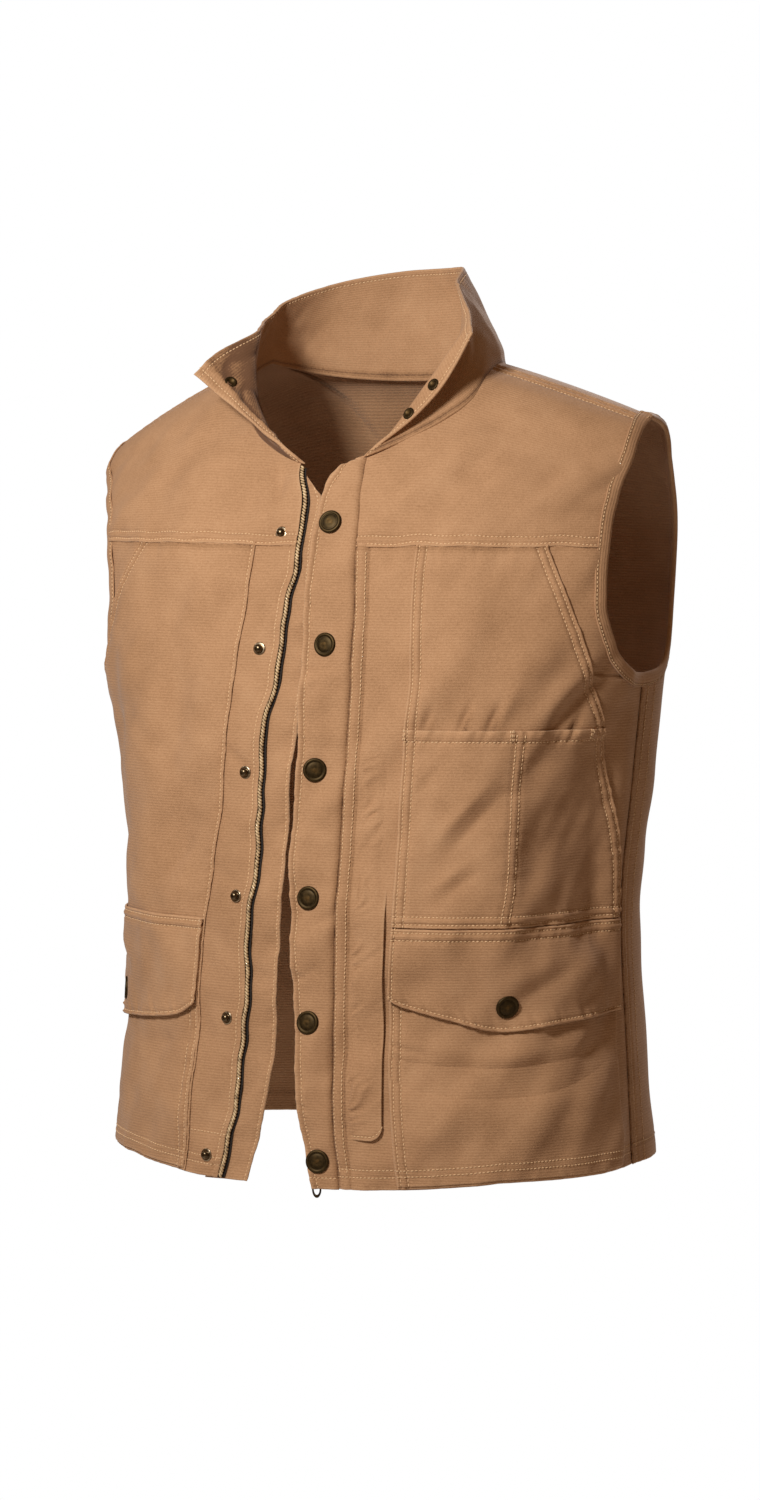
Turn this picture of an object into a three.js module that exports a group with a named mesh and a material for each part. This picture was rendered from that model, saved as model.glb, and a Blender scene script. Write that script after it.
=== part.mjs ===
// Hunting vest of cotton duck, open at the neck, in the form it has when worn.
// Millimetres. +Z is up, -Y is the front and +X is the wearer's left.
// The origin is the middle of the neck, level with the points where the shoulders meet the collar.
import * as THREE from "three";

// Rows of numbers under column names, as objects.
const table = (columns, rows) =>
  rows.map((row) => Object.fromEntries(columns.map((name, i) => [name, row[i]])));

// Worn form: a superellipse at each level. Towards level 0 front and back close in the shoulder line.
const sections = table(
  ["level", "halfWidth", "front", "back", "squareFront", "squareBack", "shift"],
  [
    [-690, 226, 170, 158, 2.5, 2.5, 4],
    [-560, 217, 169, 150, 2.5, 2.5, 6],
    [-440, 209, 166, 145, 2.45, 2.5, 8],
    [-330, 222, 160, 148, 2.4, 2.6, 5],
    [-240, 234, 150, 150, 2.4, 2.8, 2],
    [-150, 243, 131, 144, 2.4, 3.0, 0],
    [-90, 247, 106, 124, 2.45, 2.9, 0],
    [-45, 246, 76, 97, 2.8, 3.1, 0],
    [-14, 244, 42, 67, 4, 4, 0],
    [-5, 243, 20, 40, 4.5, 4.5, 0],
    [0, 243, 0, 0, 4.5, 4.5, 0],
  ],
);
// Shoulders fall from the neck point to the tip, the wearer's right one further.
const shoulder = { neckHalf: 100, tipHalf: 243, blend: 150 };
const shoulderFall = { left: { drop: 46, power: 1.12 }, right: { drop: 70, power: 1.3 } };

// Neckline, seams and hem.
const neck = { frontDepth: 84, frontRound: 1.333, backDepth: 12, backRound: 0.5, backStep: 6, clear: 3 };
const neckSpread = { size: 18, turn: 112, width: 26 };
const frontCorner = { drop: 24, width: 7, guardStart: -20, guardWidth: 25 };
const seams = { yoke: -148, lap: 1, shoulder: 2.4, shoulderGap: 0.6, gap: 0.4, backTurn: 0.1, neckClear: 1 };
const hem = { level: -653, rise: 9, riseAt: 174 };

// Armhole edges, degrees round the body from the centre front.
const armhole = table(
  ["level", "frontLeft", "frontRight", "back"],
  [
    [-250, 90, 90, 90],
    [-248, 84.5, 82, 96],
    [-244, 80.5, 76, 100.5],
    [-236, 76, 69.5, 105],
    [-225, 72.4, 64, 109],
    [-190, 67, 56, 114],
    [-148, 67, 58, 115],
    [-87, 69, 65, 113],
    [-34, 73, 72, 107],
    [0, 79, 78, 101],
  ],
);
const armholeBand = { width: 10, stations: 15 };

// Rows of the shell grids above the armpit, in the fronts and the back, the yokes and the top of the back.
const armholeRows = [-246, -238, -225, -205, -178];
const yokeRows = [-148, -128, -110, -97, -88, -82, -74, -64, -52, -38, -22, -10];
const backRows = [-148, -118, -92, -68, -46, -28, -15, -7, 0];
const columnCount = { front: 11, yoke: 8, halfBack: 8, neckColumn: 2 };

// Upright lines of the open front: distance round the body from the centre front, at each level.
const frontLines = table(
  ["level", "panelRight", "teeth", "guard", "placket", "seam", "welt", "panelLeft"],
  [
    [-653, -99, -64, -39, 18, 44, 82, 94],
    [-600, -93, -52, -25, 7, 39, 81, 88],
    [-550, -90, -46, -16, 3, 37, 80, 84],
    [-500, -89, -42, -14, 0, 37, 78, 82],
    [-450, -84, -41, -10, -2, 38, 79, 84],
    [-400, -76, -33, -3, -3, 40, 82, 87],
    [-350, -67, -31, 0, 0, 43, 85, 90],
    [-300, -62, -28, 4, 4, 46, 88, 93],
    [-250, -54, -17, 8, 4, 48, 89, 97],
    [-200, -48, -11, 8, 5, 49, 89, 96],
    [-150, -45, -5, 6, 5, 45, 89, 96],
    [-110, -42, -9, 5, 5, 42, 89, 96],
    [-84, -42, -18, -14, 16, 38, 89, 96],
  ],
);

// Slanted outer edges of the overlay panels, then their straight run beside the side seam.
const panelOuter = table(
  ["level", "left", "right"],
  [
    [-653, 298, -298],
    [-420, 298, -298],
    [-294, 264, -268],
    [-248, 242, -236],
    [-189, 218, -200],
    [-148, 200, -164],
  ],
);

const chestPocket = { top: -290, bottom: -442, margin: 1 };
const lowerPocket = { top: -451, bottom: -640, inset: 4, far: 294 };
const panelHemClear = 1.5;
const flapTop = -447;
const flapEdges = table(
  ["out", "left", "right"],
  [
    [78, -497, -498],
    [90, -505, -513],
    [110, -511, -524],
    [126, -515, -527],
    [176, -526, -532],
    [222, -522, -535],
    [300, -517, -525],
  ],
);
const welt = { top: -300, bottom: -612, fromSeam: 11 };

// Depth of each layer of cloth, measured outwards from the form.
const layers = {
  guard: { inner: -6.2, outer: -4.6 },
  tape: { inner: -3.4, outer: -2.6 },
  teeth: { inner: -3.4, outer: 0.8 },
  hiddenTeeth: { inner: -3.4, outer: -0.8 },
  shell: { inner: -1.6, outer: 0 },
  overlay: { inner: 1.2, outer: 2.4 },
  pocket: { inner: 3.5, outer: 4.7 },
  flap: { inner: 5.8, outer: 7.2 },
  placket: { inner: 1, outer: 3.4 },
  collar: { inner: -1.5, outer: 1.5 },
};
const placketLift = 4;

// Main dents and folds: soft ridges in the form, with their half sizes and their lean from the upright.
const folds = table(
  ["around", "level", "halfLength", "halfWidth", "lean", "height"],
  [
    [252, -274, 56, 34, -14, -4],
    [206, -368, 70, 36, 8, -3],
    [178, -530, 120, 42, 90, -5],
    [178, -606, 100, 40, 90, 3],
    [-172, -250, 85, 34, 6, 4],
    [-112, -412, 60, 36, 32, -4],
    [-38, -112, 40, 24, 8, -3],
    [12, -640, 80, 34, 0, -7],
  ],
);

// Collar: degrees round the neck from the centre back, the top edge, and how far the stand bows out.
const collarStations = table(
  ["turn", "topX", "topY", "topZ", "bow"],
  [
    [-162, -115, -105, -12, 2],
    [-150, -104, -88, 6, 2],
    [-135, -84, -58, 23, 3],
    [-112, -97, -14, 36, 5],
    [-90, -96, 10, 47, 6],
    [-50, -66, 56, 66, 8],
    [0, 0, 72, 76, 8],
    [50, 46, 56, 77, 9],
    [90, 64, 10, 63, 9],
    [115, 85, -17, 50, 6],
    [135, 105, -46, 33, 3],
    [152, 119, -72, 20, 2],
  ],
);
// Its left end rolls open: how far its lines move at half height, near two turns, and how that fades up and down.
const collarRolls = table(
  ["turn", "width", "x", "y", "z"],
  [
    [143.5, 4.5, -4, -2, 2],
    [153, 6, 10.5, -5, -7],
  ],
);
const rollFade = 1.1;
const collarGrid = { around: 40, up: 8, lift: 3.4 };

// Hardware sizes and places, as distance round the body and level.
const snapCaps = table(
  ["around", "level"],
  [
    [21, -130],
    [26, -225],
    [22, -323],
    [16, -423],
    [17, -521],
    [27, -631],
  ],
);
const snapStuds = table(
  ["around", "level"],
  [
    [-24, -137],
    [-33, -229],
    [-45, -327],
    [-52, -425],
    [-61, -523],
    [-76, -634],
  ],
);
const flapSnaps = { left: { around: 179, level: -509 }, right: { around: -211, level: -514 } };
const cap = { radius: 9.5, height: 2.6, wall: 1.6, ring: 6, rim: 1, groove: 1.95, middle: 2.1, gap: 0.8 };
const stud = { flange: 5.2, flangeHeight: 0.8, ball: 3.2, rings: 4, height: 4.8, gap: 0.5 };
const socket = { radius: 5, hole: 2.4, height: 1.4, gap: 1.1 };
const collarSockets = table(
  ["turn", "up"],
  [
    [148, 0.31],
    [148, 0.56],
  ],
);
const collarStud = { turn: -152, up: 0.72 };
const zip = { teethWidth: 4.4, tapeWidth: 13, clear: 0.9, guardUnder: 16, hemClear: 1 };
const hiddenZip = { fromEdge: 7, top: -114 };
const slider = { width: 3.6, height: 12, depth: 3.6, level: -640, offset: -2.4, aside: 1.2 };
const pull = { ring: 3.4, wire: 0.8, wireSides: 8, stretch: 1.7, aside: 2, level: -655 };
const roundSegments = 20;

// Small steps for slopes and normals: degrees, millimetres and share of the collar's height.
const probe = { turn: 0.8, step: 2, up: 0.02 };

// Steps of the table of arc lengths: turns in half a circle, and levels in a millimetre.
const girth = { halfTurns: 90, levels: 2 };

// Spacing of the grids that the cloth is cut into.
const spacing = { shell: 32, overlay: 27, strip: 22 };

const materials = {
  duck: new THREE.MeshStandardMaterial({ color: "#b98c64", roughness: 0.9, metalness: 0 }),
  tape: new THREE.MeshStandardMaterial({ color: "#231b15", roughness: 0.9, metalness: 0 }),
  teeth: new THREE.MeshStandardMaterial({ color: "#d8c4a0", roughness: 0.5, metalness: 0 }),
  brass: new THREE.MeshStandardMaterial({ color: "#4a3f24", roughness: 0.4, metalness: 1 }),
  nickel: new THREE.MeshStandardMaterial({ color: "#b5a98c", roughness: 0.25, metalness: 1 }),
};

// Monotone cubic through one column of a table, by its first column.
function along(rows, key, column, at) {
  const sorted = rows[0][key] < rows.at(-1)[key] ? rows : [...rows].reverse();
  const last = sorted.length - 1;
  const x = THREE.MathUtils.clamp(at, sorted[0][key], sorted[last][key]);
  let k = 0;
  while (k < last - 1 && x > sorted[k + 1][key]) k += 1;
  const rise = (i) => (sorted[i + 1][column] - sorted[i][column]) / (sorted[i + 1][key] - sorted[i][key]);
  const slope = (i) => {
    if (i === 0) return rise(0);
    if (i === last) return rise(last - 1);
    const [a, b] = [rise(i - 1), rise(i)];
    return a * b <= 0 ? 0 : (2 * a * b) / (a + b);
  };
  const span = sorted[k + 1][key] - sorted[k][key];
  const t = (x - sorted[k][key]) / span;
  const h = t * t * (3 - 2 * t);
  const bend = t * (1 - t) * span * ((1 - t) * slope(k) - t * slope(k + 1));
  return sorted[k][column] * (1 - h) + sorted[k + 1][column] * h + bend;
}

const line = (column, level) => along(frontLines, "level", column, level);
const signedPower = (value, power) => Math.sign(value) * Math.abs(value) ** power;

// Point of the bare form. A level above 0 has gone over the shoulder line to the other side.
function bareForm(angle, level) {
  if (level > 0) return bareForm(180 - angle, -level);
  const size = (column) => along(sections, "level", column, level);
  const turn = THREE.MathUtils.degToRad(angle);
  const [s, c] = [Math.sin(turn), Math.cos(turn)];
  const front = c > 0;
  const power = 2 / size(front ? "squareFront" : "squareBack");
  const x = size("halfWidth") * signedPower(s, power);
  const y = -size(front ? "front" : "back") * signedPower(c, power);
  const high = THREE.MathUtils.smoothstep(level, -shoulder.blend, 0);
  const out = Math.max(0, (Math.abs(x) - shoulder.neckHalf) / (shoulder.tipHalf - shoulder.neckHalf));
  const fall = x > 0 ? shoulderFall.left : shoulderFall.right;
  return new THREE.Vector3(x + size("shift"), y, level - high * fall.drop * out ** fall.power);
}

// Arc length round one level of the form, from the centre front, with its angles.
const girths = new Map();
function girthRow(level) {
  const key = Math.round(-Math.abs(level) * girth.levels) / girth.levels;
  if (!girths.has(key)) {
    const angles = shares(2 * girth.halfTurns).map((t) => mix(-180, 180, t));
    const points = angles.map((angle) => bareForm(angle, key));
    const sums = [0];
    points.slice(1).forEach((point, i) => sums.push(sums[i] + point.distanceTo(points[i])));
    const middle = sums[girth.halfTurns];
    girths.set(key, angles.map((angle, i) => ({ angle, around: sums[i] - middle })));
  }
  return girths.get(key);
}
function straight(rows, from, to, at) {
  let k = 0;
  while (k < rows.length - 2 && at > rows[k + 1][from]) k += 1;
  const t = (at - rows[k][from]) / (rows[k + 1][from] - rows[k][from] || 1);
  return rows[k][to] + t * (rows[k + 1][to] - rows[k][to]);
}
const angleOf = (around, level) => straight(girthRow(level), "around", "angle", around);
const aroundOf = (angle, level) => straight(girthRow(level), "angle", "around", angle);
function angleOfX(x, level) {
  const row = (column) => along(sections, "level", column, level);
  const share = (x - row("shift")) / row("halfWidth");
  return THREE.MathUtils.radToDeg(Math.asin(signedPower(share, row("squareFront") / 2)));
}

// Height of all folds at a place on the form.
function foldHeight(around, level) {
  return folds.reduce((sum, fold) => {
    const lean = THREE.MathUtils.degToRad(fold.lean);
    const [da, dl] = [around - fold.around, level - fold.level];
    const lengthwise = (dl * Math.cos(lean) + da * Math.sin(lean)) / fold.halfLength;
    const across = (da * Math.cos(lean) - dl * Math.sin(lean)) / fold.halfWidth;
    return sum + fold.height * Math.exp(-(lengthwise ** 2) - across ** 2);
  }, 0);
}

// Folded form: a point and its outward normal.
function surface(angle, level) {
  const across = bareForm(angle + probe.turn, level).sub(bareForm(angle - probe.turn, level));
  const upwards = bareForm(angle, level + probe.step).sub(bareForm(angle, level - probe.step));
  const normal = across.cross(upwards).normalize();
  const point = bareForm(angle, level);
  if (level <= 0) point.addScaledVector(normal, foldHeight(aroundOf(angle, level), level));
  return { point, normal };
}
const onFront = (around, level) => surface(angleOf(around, level), level);

// Closed sheet between two depths of a grid of points with normals. A ring joins its last row to its first.
function sheet(name, grid, layer, material, { ring = false, lift = () => 0 } = {}) {
  const [rows, columns] = [grid.length, grid[0].length];
  const at = (i, j, side) => 2 * ((i % rows) * columns + j) + side;
  const positions = [];
  grid.forEach((row, i) =>
    row.forEach(({ point, normal }, j) => {
      const raise = lift(i / (rows - 1), j / (columns - 1));
      positions.push(...point.clone().addScaledVector(normal, layer.outer + raise));
      positions.push(...point.clone().addScaledVector(normal, layer.inner + raise));
    }),
  );
  const middle = [Math.floor(rows / 2), Math.floor(columns / 2)];
  const here = grid[middle[0]][middle[1]];
  const acrossStep = grid[middle[0]][middle[1] - 1].point.clone().sub(here.point);
  const upStep = grid[middle[0] - 1][middle[1]].point.clone().sub(here.point);
  const facing = acrossStep.cross(upStep).dot(here.normal) > 0;
  const index = [];
  const quad = (a, b, c, d) => index.push(...(facing ? [a, b, c, a, c, d] : [a, c, b, a, d, c]));
  const rowEnd = ring ? rows : rows - 1;
  for (let i = 0; i < rowEnd; i += 1) {
    for (let j = 0; j < columns - 1; j += 1) {
      quad(at(i, j, 0), at(i, j + 1, 0), at(i + 1, j + 1, 0), at(i + 1, j, 0));
      quad(at(i, j, 1), at(i + 1, j, 1), at(i + 1, j + 1, 1), at(i, j + 1, 1));
    }
    const end = columns - 1;
    quad(at(i, 0, 1), at(i, 0, 0), at(i + 1, 0, 0), at(i + 1, 0, 1));
    quad(at(i, end, 0), at(i, end, 1), at(i + 1, end, 1), at(i + 1, end, 0));
  }
  for (let j = 0; j < columns - 1 && !ring; j += 1) {
    quad(at(0, j, 1), at(0, j + 1, 1), at(0, j + 1, 0), at(0, j, 0));
    quad(at(rows - 1, j, 0), at(rows - 1, j + 1, 0), at(rows - 1, j + 1, 1), at(rows - 1, j, 1));
  }
  const geometry = new THREE.BufferGeometry();
  geometry.setAttribute("position", new THREE.Float32BufferAttribute(positions, 3));
  geometry.setIndex(index);
  geometry.computeVertexNormals();
  return named(name, new THREE.Mesh(geometry, material));
}
function named(name, mesh) {
  mesh.name = name;
  return mesh;
}

const steps = (length, size) => Math.max(2, Math.round(Math.abs(length) / size));
const mix = (a, b, t) => a + (b - a) * t;
const shares = (count) => Array.from({ length: count + 1 }, (_, i) => i / count);
const hemAt = (around) => hem.level + hem.rise * Math.min(1, (around / hem.riseAt) ** 2);

// Patch of front cloth: its rows run from bottom to top, each between two edges given for its level.
function frontPatch(bottom, top, near, far, size) {
  const middle = (bottom(0) + top(0)) / 2;
  const columns = steps(Math.abs(far(middle) - near(middle)), size);
  const rows = steps(Math.abs(top(0) - bottom(0)), size);
  return shares(rows).map((v) =>
    shares(columns).map((u) => {
      const guess = mix(bottom(0), top(0), v);
      const first = mix(near(guess), far(guess), u);
      const level = mix(bottom(first), top(first), v);
      return onFront(mix(near(level), far(level), u), level);
    }),
  );
}

// Edges of the panels at the armholes, and at the side seams below them.
const armAngle = (column, level) => along(armhole, "level", column, level);
const armColumn = (sign) => (sign > 0 ? "frontLeft" : "frontRight");
const armEdge = (sign, level) =>
  aroundOf(sign * armAngle(armColumn(sign), level), level) - sign * seams.gap;
const sideName = (sign) => (sign > 0 ? "left" : "right");
const sides = [1, -1];

// Neckline: its spread under the open left end of the collar, by the turn round the neck.
const spread = (turn) => neckSpread.size * Math.exp(-(((turn - neckSpread.turn) / neckSpread.width) ** 2));

// Neckline: the half width of the front at a level, and the level of the front at a half width.
function neckHalfAt(level, sign) {
  const depth = Math.min(1, -level / neck.frontDepth);
  const turn = 90 + THREE.MathUtils.radToDeg(Math.asin(depth));
  const half = shoulder.neckHalf * (1 - depth ** 2) ** (neck.frontRound / 2);
  return half + (sign > 0 ? spread(turn) : 0) + seams.gap;
}
function neckLevelAt(x) {
  const share = Math.min(1, Math.abs(x) / shoulder.neckHalf) ** (2 / neck.frontRound);
  return -neck.frontDepth * Math.sqrt(1 - share);
}

// Front shell edges: beside the zip, under the placket on the left and at the teeth on the right.
function zipEdge(sign, level) {
  if (sign > 0) return line("placket", level) + hiddenZip.fromEdge + zip.teethWidth + zip.clear;
  return line("teeth", level) - zip.teethWidth / 2 - zip.clear;
}
function fronts() {
  return sides.map((sign) => {
    const body = shares(steps(hem.level - armhole[0].level, spacing.shell));
    const bodyLevels = body.map((v) => mix(hem.level, armhole[0].level, v));
    const levels = [...bodyLevels, ...armholeRows, seams.yoke - seams.gap];
    const grid = levels.map((level, i) =>
      shares(columnCount.front).map((u) => {
        const guess = mix(zipEdge(sign, level), armEdge(sign, level), u);
        const real = i === 0 ? hemAt(guess) : level;
        return onFront(mix(zipEdge(sign, real), armEdge(sign, real), u), real);
      }),
    );
    return sheet(`front_${sideName(sign)}`, grid, layers.shell, materials.duck);
  });
}
function yokes() {
  return sides.map((sign) => {
    const grid = [...yokeRows, -seams.shoulder].map((level) => {
      const neckEdge = aroundOf(angleOfX(sign * neckHalfAt(level, sign), level), level);
      const inner = sign * Math.max(sign * zipEdge(sign, level), sign * neckEdge);
      return shares(columnCount.yoke).map((u) => onFront(mix(inner, armEdge(sign, level), u), level));
    });
    return sheet(`yoke_${sideName(sign)}`, grid, layers.shell, materials.duck);
  });
}

// Back panel: round the back at each level, to the neckline and over the shoulder to its forward seam.
function back() {
  const bottom = hemAt(hem.riseAt);
  const body = shares(steps(bottom - armhole[0].level, spacing.shell));
  const bodyLevels = body.map((v) => mix(bottom, armhole[0].level, v));
  const levels = [...bodyLevels, ...armholeRows, ...backRows, seams.shoulder - seams.shoulderGap];
  const neckTurn = angleOfX(shoulder.neckHalf + seams.neckClear, 0) / (180 - armAngle("back", 0));
  const bias = Math.log(neckTurn) / Math.log(columnCount.neckColumn / columnCount.halfBack);
  const grid = levels.map((level, i) =>
    shares(2 * columnCount.halfBack).map((u) => {
      const across = 2 * u - 1;
      const angleAt = (edge) => 180 - Math.abs(across) ** bias * (180 - edge);
      const topX = Math.abs(bareForm(angleAt(armAngle("back", 0)), -seams.gap).x);
      const overNeck = Math.max(0, 1 - (topX / shoulder.neckHalf) ** 2);
      const neckline = -neck.backDepth * overNeck ** neck.backRound;
      const share = i / (levels.length - 1);
      const top = overNeck > 0 ? Math.min(level, neckline - neck.backStep * (1 - share)) : level;
      const edge = armAngle("back", -Math.abs(top)) + seams.backTurn;
      return surface(Math.sign(across || 1) * angleAt(edge), top);
    }),
  );
  return sheet("back", grid, layers.shell, materials.duck);
}

// Bands round the armholes: up the front edge, over the shoulder and down the back edge, as a ring.
function armholeBands() {
  return sides.map((sign) => {
    const heightAt = (t) => (armhole[0].level * (1 + Math.cos(Math.PI * t))) / 2;
    const heights = shares(armholeBand.stations).map(heightAt);
    const rising = heights.map((level) => surface(sign * armAngle(armColumn(sign), level), level));
    const falling = heights.slice(1, -1).map((level) => surface(sign * armAngle("back", level), level));
    const edge = [...rising, ...falling.reverse()];
    const middle = new THREE.Vector3();
    edge.forEach(({ point }) => middle.addScaledVector(point, 1 / edge.length));
    const grid = edge.map(({ point, normal }, i) => {
      const [before, after] = [edge.at(i - 1).point, edge[(i + 1) % edge.length].point];
      const away = after.clone().sub(before).cross(normal).normalize();
      if (away.dot(point.clone().sub(middle)) < 0) away.negate();
      const inset = (w) => point.clone().addScaledVector(away, w * armholeBand.width);
      return shares(2).map((w) => ({ point: inset(w), normal }));
    });
    return sheet(`armhole_band_${sideName(sign)}`, grid, layers.overlay, materials.duck, { ring: true });
  });
}

// Storm flap over the zip: its free edge stands off, and its top corner is rounded off below the collar.
const placketTop = (around) => {
  const fromEdge = Math.max(0, around - line("placket", seams.yoke));
  const drop = frontCorner.drop * Math.exp(-fromEdge / frontCorner.width);
  return neckLevelAt(around) - neck.clear - drop;
};
const placketShare = (around, level) =>
  (around - line("placket", level)) / (line("seam", level) - line("placket", level));
function onPlacket(around, level) {
  const raised = (a, l) => {
    const { point, normal } = onFront(a, l);
    return point.addScaledVector(normal, layers.placket.outer + placketLift * (1 - placketShare(a, l)));
  };
  const across = raised(around + probe.step, level).sub(raised(around - probe.step, level));
  const upwards = raised(around, level + probe.step).sub(raised(around, level - probe.step));
  return { point: raised(around, level), normal: across.cross(upwards).normalize() };
}
function placket() {
  const grid = frontPatch(
    () => hem.level,
    placketTop,
    (level) => line("placket", level),
    (level) => line("seam", level),
    spacing.strip,
  );
  const lift = (v, u) => placketLift * (1 - u);
  return sheet("placket_left", grid, layers.placket, materials.duck, { lift });
}

// Zip: teeth and tape on each half, and the cloth guard behind the right half.
function zipHalves() {
  const hemLevel = () => hem.level + zip.hemClear;
  const rightTop = () => -neck.frontDepth;
  const hiddenTop = () => hiddenZip.top;
  const teeth = (level) => line("teeth", level);
  const hidden = (level) => line("placket", level) + hiddenZip.fromEdge;
  const half = zip.teethWidth / 2;
  const besideTeeth = zip.teethWidth + zip.clear;
  const guardTop = (around) => {
    const share = (around - frontCorner.guardStart) / frontCorner.guardWidth;
    return -neck.frontDepth - frontCorner.drop * THREE.MathUtils.clamp(share, 0, 1);
  };
  const strips = [
    {
      name: "zip_teeth_right",
      edges: [hemLevel, rightTop, (l) => teeth(l) - half, (l) => teeth(l) + half],
      layer: layers.teeth,
      material: materials.teeth,
    },
    {
      name: "zip_tape_right",
      edges: [hemLevel, rightTop, (l) => teeth(l) - zip.tapeWidth, (l) => teeth(l) - half - zip.clear],
      layer: layers.tape,
      material: materials.tape,
    },
    {
      name: "zip_guard_right",
      edges: [() => hem.level, guardTop, (l) => teeth(l) - zip.guardUnder, (l) => line("guard", l)],
      layer: layers.guard,
      material: materials.duck,
    },
    {
      name: "zip_teeth_left",
      edges: [() => slider.level + slider.height, hiddenTop, hidden, (l) => hidden(l) + zip.teethWidth],
      layer: layers.hiddenTeeth,
      material: materials.teeth,
    },
    {
      name: "zip_tape_left",
      edges: [hemLevel, hiddenTop, (l) => hidden(l) + besideTeeth, (l) => hidden(l) + zip.tapeWidth],
      layer: layers.tape,
      material: materials.tape,
    },
  ];
  return strips.map(({ name, edges, layer, material }) =>
    sheet(name, frontPatch(...edges, spacing.strip), layer, material),
  );
}
function zipSlider() {
  const around = line("placket", slider.level) + hiddenZip.fromEdge + slider.aside;
  const body = new THREE.BoxGeometry(slider.width, slider.height, slider.depth);
  const ring = new THREE.TorusGeometry(pull.ring, pull.wire, pull.wireSides, roundSegments);
  ring.scale(1, pull.stretch, 1);
  return [
    placed("zip_slider", body, onFront(around, slider.level), slider.offset, materials.brass),
    placed("zip_pull", ring, onFront(around - pull.aside, pull.level), slider.offset, materials.brass),
  ];
}

// Overlay panels, pockets, flaps and welt, each a patch between its own edges.
function overlays() {
  const outer = (sign) => (level) => along(panelOuter, "level", sideName(sign), level);
  const inner = (sign) => (level) => line(sign > 0 ? "panelLeft" : "panelRight", level);
  const shifted = (edge, by) => (level) => edge(level) + by;
  const panelBottom = (around) => hemAt(around) + panelHemClear;
  const flapBottom = (sign) => (around) => along(flapEdges, "out", sideName(sign), sign * around);
  const both = sides.flatMap((sign) => {
    const side = sideName(sign);
    const patch = (bottom, top, near, far) => frontPatch(bottom, top, near, far, spacing.overlay);
    const margin = sign * lowerPocket.inset;
    const pocketNear = shifted(inner(sign), margin);
    const pocketFar = () => sign * lowerPocket.far;
    const panel = patch(panelBottom, () => seams.yoke - seams.lap, inner(sign), outer(sign));
    const lower = patch(() => lowerPocket.bottom, () => lowerPocket.top, pocketNear, pocketFar);
    const lid = patch(flapBottom(sign), () => flapTop, shifted(inner(sign), margin / 2), pocketFar);
    return [
      sheet(`panel_${side}`, panel, layers.overlay, materials.duck),
      sheet(`lower_pocket_${side}`, lower, layers.pocket, materials.duck),
      sheet(`flap_${side}`, lid, layers.flap, materials.duck),
    ];
  });
  const chest = frontPatch(
    () => chestPocket.bottom,
    () => chestPocket.top,
    shifted(inner(1), chestPocket.margin),
    shifted(outer(1), -chestPocket.margin),
    spacing.overlay,
  );
  const upright = frontPatch(
    () => welt.bottom,
    () => welt.top,
    (level) => line("seam", level) + welt.fromSeam,
    (level) => line("welt", level),
    spacing.strip,
  );
  return [
    ...both,
    sheet("chest_pocket_left", chest, layers.pocket, materials.duck),
    sheet("welt_left", upright, layers.overlay, materials.duck),
  ];
}

// Collar: at each turn round the neck a bowed line runs from the neckline to the top edge.
function collarBase(turn) {
  const side = Math.sign(turn || 1);
  const share = Math.abs(Math.sin(THREE.MathUtils.degToRad(turn)));
  const ahead = Math.abs(turn) > 90;
  const fall = Math.abs(Math.cos(THREE.MathUtils.degToRad(turn)));
  const level = -(ahead ? neck.frontDepth : neck.backDepth) * fall;
  const x = side * shoulder.neckHalf * share ** (ahead ? neck.frontRound : 1);
  const angle = angleOfX(x + spread(turn), level);
  const { point, normal } = surface(ahead ? angle : side * 180 - angle, level);
  return point.addScaledVector(normal, collarGrid.lift);
}
function collarLine(turn, up) {
  const column = (name) => along(collarStations, "turn", name, turn);
  const top = new THREE.Vector3(column("topX"), column("topY"), column("topZ"));
  const base = collarBase(turn);
  const half = base.clone().add(top).multiplyScalar(0.5);
  const out = new THREE.Vector3(half.x, half.y, 0).normalize();
  half.addScaledVector(out, column("bow"));
  const point = new THREE.QuadraticBezierCurve3(base, half, top).getPoint(up);
  const belly = Math.max(0, Math.sin(Math.PI * up)) ** rollFade;
  collarRolls.forEach(({ turn: at, width, x, y, z }) => {
    const share = belly * Math.exp(-(((turn - at) / width) ** 2));
    point.addScaledVector(new THREE.Vector3(x, y, z), share);
  });
  return point;
}
function onCollar(turn, up) {
  const [first, last] = [collarStations[0].turn, collarStations.at(-1).turn];
  const [t0, t1] = [Math.max(first, turn - probe.turn), Math.min(last, turn + probe.turn)];
  const [u0, u1] = [Math.max(0, up - probe.up), Math.min(1, up + probe.up)];
  const upwards = collarLine(turn, u1).sub(collarLine(turn, u0));
  const around = collarLine(t1, up).sub(collarLine(t0, up));
  return { point: collarLine(turn, up), normal: upwards.cross(around).normalize() };
}
function collar() {
  const [first, last] = [collarStations[0].turn, collarStations.at(-1).turn];
  const grid = shares(collarGrid.around).map((t) =>
    shares(collarGrid.up).map((up) => onCollar(mix(first, last, t), up)),
  );
  return sheet("collar", grid, layers.collar, materials.duck);
}

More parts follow.
